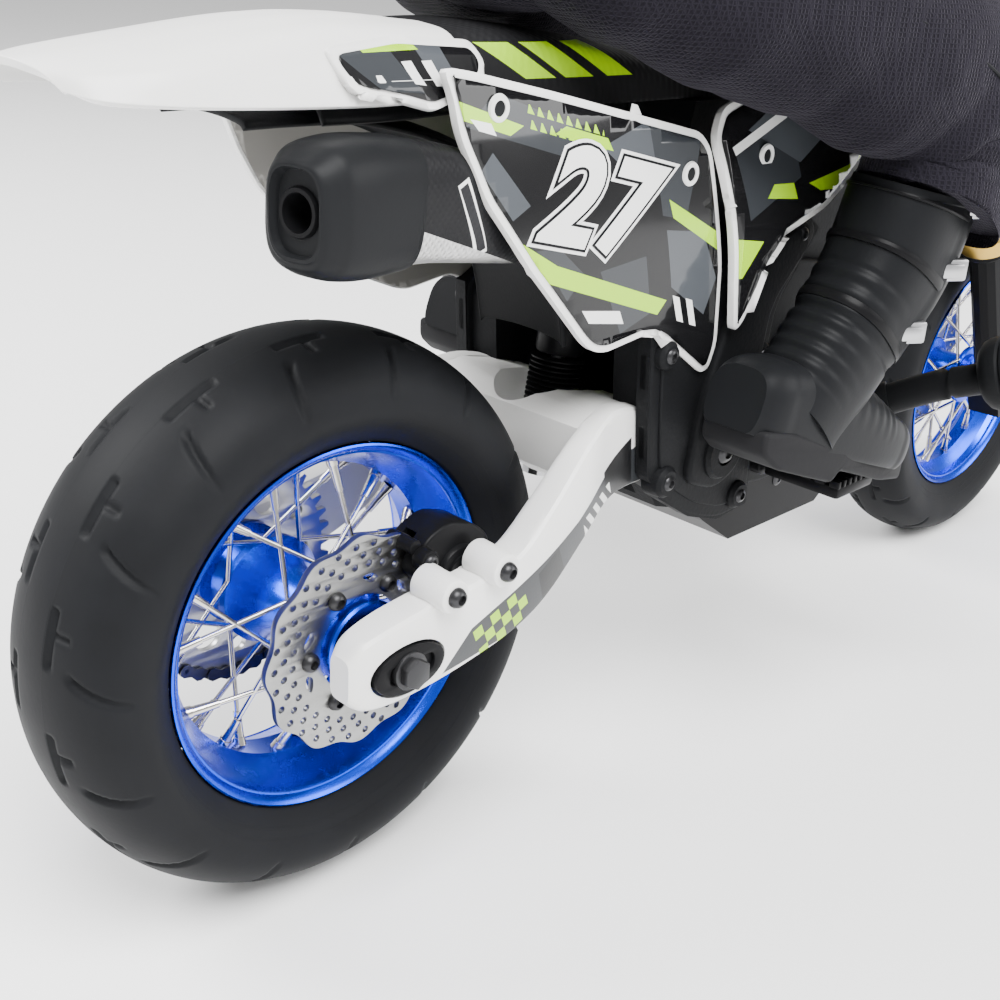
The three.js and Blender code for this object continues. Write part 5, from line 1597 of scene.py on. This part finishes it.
def make_trousers():
    back, front = -math.pi / 2, math.pi / 2
    folds = [(0.2, 0.03, -0.05, back, 0.03), (0.3, 0.03, 0.045, back, 0.03), (0.47, 0.03, -0.05, back, 0.05),
             (0.56, 0.025, 0.05, back, 0.05), (0.63, 0.02, -0.07, back, 0.04), (0.69, 0.022, 0.06, back,
                                                                                0.05),
             (0.76, 0.02, -0.06, back, 0.03), (0.82, 0.022, 0.05, back, 0.04), (0.88, 0.018, -0.05, back,
                                                                                0.03),
             (0.94, 0.02, 0.035, back, 0.02), (0.72, 0.05, 0.03, front, 0.02), (0.4, 0.04, 0.03, 0, 0.05)]
    cloth = knit_finish("trouser_knit", (0.0068, 0.006, 0.0088))
    legs = []
    for side in (-1, 1):
        leg = cloth_limb(THIGH, 96, 120, folds, 17, 3.0)
        legs.append(leg if side < 0 else flip(leg))
    hips = cloth_limb([(38, 0, 246, 20, 12), (50, 0, 249, 32, 20), (66, 0, 253, 38, 26), (84, 0, 263, 37, 27),
                       (97, 0, 281, 32.5, 23), (100, 0, 289, 31, 21.4)], 96, 60,
                      [(0.3, 0.05, -0.03, back, 0.02), (0.6, 0.05, 0.03, back, 0.03)], 20, 5.0)
    piece(join(*legs, hips), "trousers", "chassis", cloth, ("rider_trousers",), sharp=60,
          merge=False)
    hems, seams = [], []
    for side in (-1, 1):
        hem = limb([(186.4, -68.8, 187.4, 21.4, 28.3), (184.6, -68.6, 181.2, 21.3, 28.3),
                    (184.0, -68.5, 179.8, 20.6, 27.6)], 96, 6, 2.15)
        hems.append(hem if side < 0 else flip(hem))
        line = [spline_point(THIGH, t / 30) for t in range(6, 29)]
        seam = tube([(x, y - wide * 0.995, z + 2) for x, y, z, wide, deep in line], 0.55, 120, 8)
        seams.append(seam if side < 0 else flip(seam))
    piece(join(*hems), "trouser_hems", "chassis", cloth, (), sharp=60)
    piece(join(*seams), "trouser_piping", "chassis", "boot", ())
    belt = limb([(97.6, 0, 282, 33.4, 24), (100.6, 0, 290, 32.2, 22.6)], 64, 4, 2.1)
    piece(belt, "waistband", "chassis", "boot", ())


SHAFT = [(178, -65.6, 184, 15.6, 20), (176.5, -65.2, 178, 16.4, 21.4), (170, -64.4, 162, 16.2, 20.4),
         (158, -63.2, 146, 15, 19), (145, -62, 131, 14.4, 18.6), (133, -61.2, 119, 14, 18)]
FOOT = [(108, -58.6, 130, 9.4, 9.6), (115, -59, 127.6, 12.6, 13), (132, -59.8, 122.6, 14.2, 15.6),
        (152, -60.6, 115.4, 14.8, 15.6), (170, -61, 107.4, 14.6, 13), (185, -61.2, 101.4, 12.8, 10),
        (194, -61.2, 98, 9.4, 7.4), (197.6, -61.2, 96.8, 5.6, 4.6)]


def shaft_shape(t, angle):
    back = max(0.0, math.cos(angle + math.pi / 2))
    ribs = 0.02 * math.sin(t * 120) * back ** 0.7 if 0.5 < t < 0.9 else 0.0
    plate = 0.045 * inside(math.cos(angle - math.pi / 2), 0.35, 1.1, 0.05) * inside(t, 0.1, 0.62, 0.02)
    cuff = 0.03 * inside(t, 0.0, 0.08, 0.02)
    groove_line = -0.025 * inside(t, 0.655, 0.675, 0.01)
    return 1 + ribs + plate + cuff + groove_line


def foot_shape(t, angle):
    toe = 0.03 * inside(t, 0.72, 1.0, 0.03)
    heel = 0.03 * inside(t, 0.0, 0.16, 0.03)
    ridge = 0.018 * math.sin(t * 150) * inside(t, 0.36, 0.6, 0.03) * max(0.0, math.sin(angle))
    return 1 + toe + heel + ridge


def make_boots():
    for side, word in ((-1, "right"), (1, "left")):
        def placed(bm):
            return bm if side < 0 else flip(bm)
        shaft = limb(SHAFT, 96, 130, 2.5, shaft_shape)
        foot = limb(FOOT, 96, 110, 2.9, foot_shape)
        for v in foot.verts:
            floor = 121.5 - (v.co.x - 108) * 0.355
            v.co.z = max(v.co.z, floor)
        piece(placed(join(shaft, foot)), f"boot_shell_{word}", "chassis", "boot", (f"boot_{word}",),
              sharp=42,
              merge=False)
        sole_line = [(106.4, 124), (118, 121.6), (150, 110), (180, 98.6), (196.6, 94.6), (200.6, 91.4),
                     (196, 87.2),
                     (176, 92.6), (150, 102.4), (145, 104), (141.6, 101), (113, 111.6), (106.6, 117)]
        sole = flat([rounded(sole_line, 2.4, 5)], -74.4, -46.6, 1.4, 3)
        for v in sole.verts:
            t = min(max((v.co.x - 106.4) / 94, 0.0), 1.0)
            narrow = 0.78 + 0.24 * math.sin(math.pi * min(1.0, t * 1.15) ** 0.8)
            if t > 0.82:
                narrow *= 1 - 0.42 * ((t - 0.82) / 0.18) ** 2
            v.co.y = -60.5 + (v.co.y + 60.5) * narrow
        piece(placed(sole), f"boot_sole_{word}", "chassis", "sole", (), sharp=40)
        straps, buckles = [], []
        for t, wide in ((0.16, 0.034), (0.4, 0.032), (0.62, 0.03)):
            a, b, c = (spline_point(SHAFT, t - wide / 2), spline_point(SHAFT, t),
                       spline_point(SHAFT, t + wide / 2))
            ring = [(*p[:3], p[3] * grow, p[4] * grow) for p, grow in ((a, 1.03), (b, 1.042), (c, 1.03))]
            straps.append(limb(ring, 72, 6, 2.5))
            angle = math.radians(28)
            x = b[0] + b[4] * 1.1 * math.sin(angle)
            y = b[1] - b[3] * 1.1 * math.cos(angle)
            tilt = Matrix.Translation((x, y, b[2])) @ Matrix.Rotation(-angle, 4, "Z")
            plate = join(block((-5.4, -1.5, -3.4), (5.4, 1.2, 3.4), 0.9),
                         block((-3.8, -2.6, -2.2), (3.4, -1, 2.2), 0.7))
            bmesh.ops.transform(plate, matrix=tilt, verts=plate.verts)
            buckles.append(plate)
        piece(placed(join(*straps)), f"boot_straps_{word}", "chassis", "smooth_black", (), sharp=40)
        piece(placed(join(*buckles)), f"boot_buckles_{word}", "chassis", "steel", (), sharp=40)


def make_torso():
    back = -math.pi / 2
    folds = [(0.12, 0.03, 0.035, back, 0.02), (0.22, 0.03, -0.03, back, 0.03), (0.4, 0.04, 0.03, 0, 0.06),
             (0.55, 0.04, -0.03, math.pi, 0.06), (0.3, 0.03, 0.04, math.pi / 2, 0.0), (0.16, 0.03, -0.04,
                                                                                       math.pi / 2, 0)]
    jersey = knit_finish("jersey_knit", (0.016, 0.017, 0.021))
    x, y, z = jersey.place()
    chest = (z - x * 0.45 - 292).above(0) * (z - x * 0.45 - 299).below(0)
    panel = abs(y).above(24) * (z - x * 0.2 - 290).above(0)
    color = jersey.mix(panel, (0.016, 0.017, 0.021), (0.05, 0.053, 0.06))
    jersey.paint(jersey.mix(chest, color, NEON))
    torso = cloth_limb([(99, 0, 284, 31, 21), (104, 0, 292, 30.6, 21), (112, 0, 306, 31.6, 21.6),
                        (130, 0, 328, 37, 24),
                        (144, 0, 344, 43, 23.6), (153, 0, 354.6, 35, 19), (160, 0, 362, 17, 13.6), (163, 0,
                                                                                                    366, 12.6, 12)],
                       96, 90, folds, 22, 9.0)
    piece(torso, "jersey_body", "chassis", jersey, ("rider_torso",), sharp=60, merge=False)
    collar = limb([(159, 0, 360, 15.6, 14), (164, 0, 367, 13.6, 13)], 64, 8, 2.0)
    piece(collar, "jersey_collar", "chassis", "boot", ())
    sleeve_folds = [(0.35, 0.03, -0.07, 0, 0.04), (0.42, 0.025, 0.06, 0, 0.04), (0.5, 0.025, -0.07, 0, 0.05),
                    (0.57, 0.025, 0.05, 0, 0.04), (0.66, 0.025, -0.05, 0, 0.04), (0.8, 0.03, 0.04, 0, 0.03)]
    arm = [(142, -34, 346, 15, 17), (152, -47, 343, 14.4, 15), (166, -64, 334, 13.6, 13.6),
           (190, -86, 314, 12, 12),
           (211, -91, 297, 10.8, 11), (226, -88, 282, 9.6, 10), (235, -85.6, 272, 8.6, 9)]
    for side, word in ((-1, "right"), (1, "left")):
        sleeve = cloth_limb(arm, 64, 110, sleeve_folds, 15, 2.0 + side)
        made = piece(sleeve if side < 0 else flip(sleeve), f"sleeve_{word}", None, jersey,
                     (f"rider_arm_{word}",),
                     sharp=60, merge=False)
        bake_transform(made)


def make_gloves():
    for side, word in ((-1, "right"), (1, "left")):
        def placed(bm):
            return bm if side < 0 else flip(bm)
        palm = limb([(-34, -85, 60, 8.4, 8), (-26, -86, 56, 9.4, 8.4), (-16, -86, 52, 11.6, 8.8),
                     (-6, -85, 51, 11.6, 7.4),
                     (2, -84, 48.6, 11, 6.6)], 48, 40, 2.6)
        fingers = []
        for i in range(4):
            y = -93.4 + i * 6.2
            fingers.append(limb([(-2, y, 50.6, 3.0, 3.6), (5, y, 49.6, 3.1, 3.4), (8.6, y, 45.6, 3.0, 3.2),
                                 (7.6, y, 40.4, 3.0, 3.0), (2.4, y, 38, 2.8, 2.8), (-2.6, y, 39, 2.4,
                                                                                    2.4)], 24, 30, 2.2))
        thumb = limb([(-14, -76, 49, 4, 4), (-8, -72, 43, 3.6, 3.8), (-1, -71, 39.4, 3.2, 3.2),
                      (4, -72.4, 38.4, 2.6, 2.6)],
                     24, 24)
        knuckle = join(*[block((-9, -96 + i * 6.2, 55.4), (1, -91.2 + i * 6.2, 59), 1.3) for i in range(4)])
        piece(placed(join(palm, *fingers, thumb)), f"glove_{word}_cloth", "steering", "knit",
              (f"glove_{word}",),
              place=FORK, sharp=60)
        piece(placed(knuckle), f"glove_{word}_pads", "steering", "boot", (), place=FORK)
        cuff = limb([(-40, -84.4, 62.6, 10.2, 10), (-30, -85.6, 58, 10.4, 9.6)], 48, 8, 2.2)
        piece(placed(cuff), f"glove_{word}_cuff", "steering", "boot", (), place=FORK)


def make_head():
    centre = Vector((181, 0, 399))
    shell = bmesh.new()
    bmesh.ops.create_uvsphere(shell, u_segments=96, v_segments=64, radius=1)
    for v in shell.verts:
        n = Vector(v.co)
        stretch = Vector((33, 29, 33))
        if n.z < -0.3:
            stretch.x *= 1 - 0.1 * (-n.z - 0.3)
            stretch.y *= 1 - 0.22 * (-n.z - 0.3)
        v.co = centre + Vector((n.x * stretch.x, n.y * stretch.y, n.z * stretch.z))
    hollow = bmesh.new()
    bmesh.ops.create_uvsphere(hollow, u_segments=64, v_segments=40, radius=1,
                              matrix=Matrix.Translation(centre - Vector((0, 0, 2))) @ Matrix.Diagonal((29, 25,
                                                                                                       30.5, 1)))
    window = limb([(196, 0, 399, 25, 12.5), (232, 0, 399, 25, 14)], 48, 4, 3.4)
    neck = rod((150, 0, 348), (181, 0, 392), 21, segments=48)
    shell = carve(shell, "shell", [hollow, window, neck])
    helmet = Finish("helmet_paint", (0.8, 0.8, 0.79), 0.12, Coat_Weight=0.8, Coat_Roughness=0.03)
    x, y, z = helmet.place()
    lean = z - (x - 181) * 0.35 - 399
    color = helmet.mix(lean.above(8) * lean.below(15) * abs(y).above(9), (0.8, 0.8, 0.79), NEON)
    color = helmet.mix(lean.above(-6) * lean.below(7), color, (0.02, 0.021, 0.024))
    helmet.paint(helmet.mix(abs(y).below(2.4) * z.above(412), color, (0.02, 0.021, 0.024)))
    helmet.set("Roughness", helmet.noise(60.0, 4.0) * 0.12 + 0.08)
    helmet.bump(helmet.noise(300.0, 2.0), 0.01)
    piece(shell, "helmet_shell", "chassis", helmet, ("helmet",), sharp=40, bevel=0.4)
    bar_rows = []
    for i in range(25):
        angle = math.radians(-78 + 156 * i / 24)
        x0 = 184 + 40 * math.cos(angle)
        y0 = 27.5 * math.sin(angle)
        push = 1 - 0.1 * abs(math.sin(angle))
        bar_rows.append([(x0 - 8, y0 * 0.9, 372 + 1.5), (x0 - 1.5, y0, 374.6), (x0, y0 * push, 380),
                         (x0 - 1.0, y0, 386.4), (x0 - 3.4, y0 * 0.96, 388.4)])
    piece(woven_sheet(bar_rows, 20, 60), "chin_bar", "chassis", helmet, (), wall=2.0, bevel=0.3,
          merge=False)
    vents = join(*[block((219.6 - abs(i) * 1.1, i * 5 - 1.4, 377.6), (225 - abs(i) * 1.1, i * 5 + 1.4, 383.4),
                         0.7)
                   for i in range(-2, 3)])
    piece(vents, "chin_vents", "chassis", "cap_black", ())
    peak = []
    for x, half, z in ((190, 23, 421.4), (204, 23.6, 425), (220, 21, 426.6), (234, 16.4, 425.2),
                       (240, 13, 423.4)):
        peak.append([(x, -half, z - 6.4), (x, -half * 0.8, z - 1.6), (x, -half * 0.3, z), (x, 0, z + 0.4),
                     (x, half * 0.3, z), (x, half * 0.8, z - 1.6), (x, half, z - 6.4)])
    piece(woven_sheet(peak, 30, 30), "helmet_peak", "chassis", "smooth_black", (), wall=-1.8,
          bevel=0.4,
          merge=False)
    face = bmesh.new()
    bmesh.ops.create_uvsphere(face, u_segments=96, v_segments=72, radius=1)
    for v in face.verts:
        n = Vector(v.co)
        x0, y0, z0 = 21.5 * n.x, 17.5 * n.y, 24 * n.z
        if n.x > 0:
            bridge = math.exp(-(y0 / 3.0) ** 2) * math.exp(-((z0 + 1.5) / 6.5) ** 2) * 5.2
            brow = math.exp(-((z0 - 7.5) / 2.6) ** 2) * math.exp(-(y0 / 11) ** 2) * 1.4
            socket = sum(math.exp(-((y0 - s * 7) / 3.8) ** 2) * math.exp(-((z0 - 3.6) / 3.2) ** 2) for s in (-1, 1)) * 2.2
            lips = math.exp(-(y0 / 5.4) ** 2) * (math.exp(-((z0 + 11) / 1.3) ** 2) + math.exp(-((z0 + 13.6) / 1.4) ** 2)) * 1.2
            chin_up = math.exp(-(y0 / 6) ** 2) * math.exp(-((z0 + 19) / 3.2) ** 2) * 1.6
            x0 += bridge + brow - socket + lips + chin_up
        v.co = Vector((180 + x0, y0, 397 + z0))
    piece(face, "figure_head", "chassis", "skin", (), sharp=80)
    eyes, lids = [], []
    for s in (-1, 1):
        eye = bmesh.new()
        bmesh.ops.create_uvsphere(eye, u_segments=32, v_segments=20, radius=3.1,
                                  matrix=Matrix.Translation((196.6, s * 7, 400.4)))
        eyes.append(eye)
        lids.append(tube([(199.2, s * 3.8, 400.6), (200.4, s * 6, 402.4), (200.0, s * 8.4, 402.4),
                          (197.6, s * 10.6, 400.6)],
                         0.7, 20, 10))
    piece(join(*eyes), "figure_eyes", "chassis", "plate_white", ())
    piece(join(*lids), "figure_eyelids", "chassis", "skin", ())
    frame_line = [(204, -21, 399), (209.6, -15, 408.6), (212.6, -6, 410.6), (213, 0, 410.4),
                  (212.6, 6, 410.6),
                  (209.6, 15, 408.6), (204, 21, 399), (209, 15.6, 391), (212.4, 7, 389.4), (212, 0, 391.4),
                  (212.4, -7, 389.4), (209, -15.6, 391), (204, -21, 399)]
    piece(tube(frame_line, 1.7, 120, 14), "goggle_frame", "chassis", "smooth_black", (),
          merge=False)
    lens = []
    for i in range(21):
        y0 = -19.4 + 38.8 * i / 20
        reach = math.sqrt(max(0.0, 1 - (y0 / 22) ** 2))
        top = 400 + 9.8 * reach ** 0.8
        low = 399 - 8.6 * reach ** 0.8 + 2.2 * math.exp(-(y0 / 3) ** 2)
        lens.append([(203.4 + 8.4 * reach, y0, low), (204.2 + 8.6 * reach, y0, 399),
                     (203.6 + 8.4 * reach, y0, top)])
    piece(woven_sheet(lens, 12, 60), "goggle_lens", "chassis", "lens", (), wall=0.6, merge=False)


MAKERS = (make_rear_wheel, make_front_wheel, make_chain, make_swingarm, make_caliper, make_side_panels,
          make_rear_fender, make_inner_fender, make_seat, make_muffler, make_cases, make_shock, make_fork,
          make_trousers, make_boots, make_torso, make_gloves, make_head)


# Everything left over from the frame keeps its shape and takes a finish by its slot

SLOT_FINISH = {
    "black_nylon": "black_nylon", "black_alloy": "smooth_black", "tyre": "rear_rubber",
    "blue_alloy": "blue", "steel": "steel", "dark_steel": "dark_steel", "gold_alloy": "gold",
    "white_plastic": "white", "panel_plastic": "white", "neon_plastic": "neon", "fabric": "knit",
    "jersey": "jersey", "boot": "boot", "helmet": "plate_white"}


def finish_frame_nodes():
    for node in frame["nodes"].values():
        if node.hide_render:
            continue
        for place in node.material_slots:
            slot = place.material.name.split(".")[0]
            place.material = FINISHES[SLOT_FINISH[slot]].material
        edge = node.modifiers.new("edge", "BEVEL")
        edge.width = 0.3 * MM
        edge.segments = 2
        edge.limit_method = "ANGLE"
        edge.angle_limit = math.radians(35)


FINISHES = make_finishes()
add_camera()
add_studio()
for make in MAKERS:
    make()
finish_frame_nodes()
bpy.context.view_layer.update()
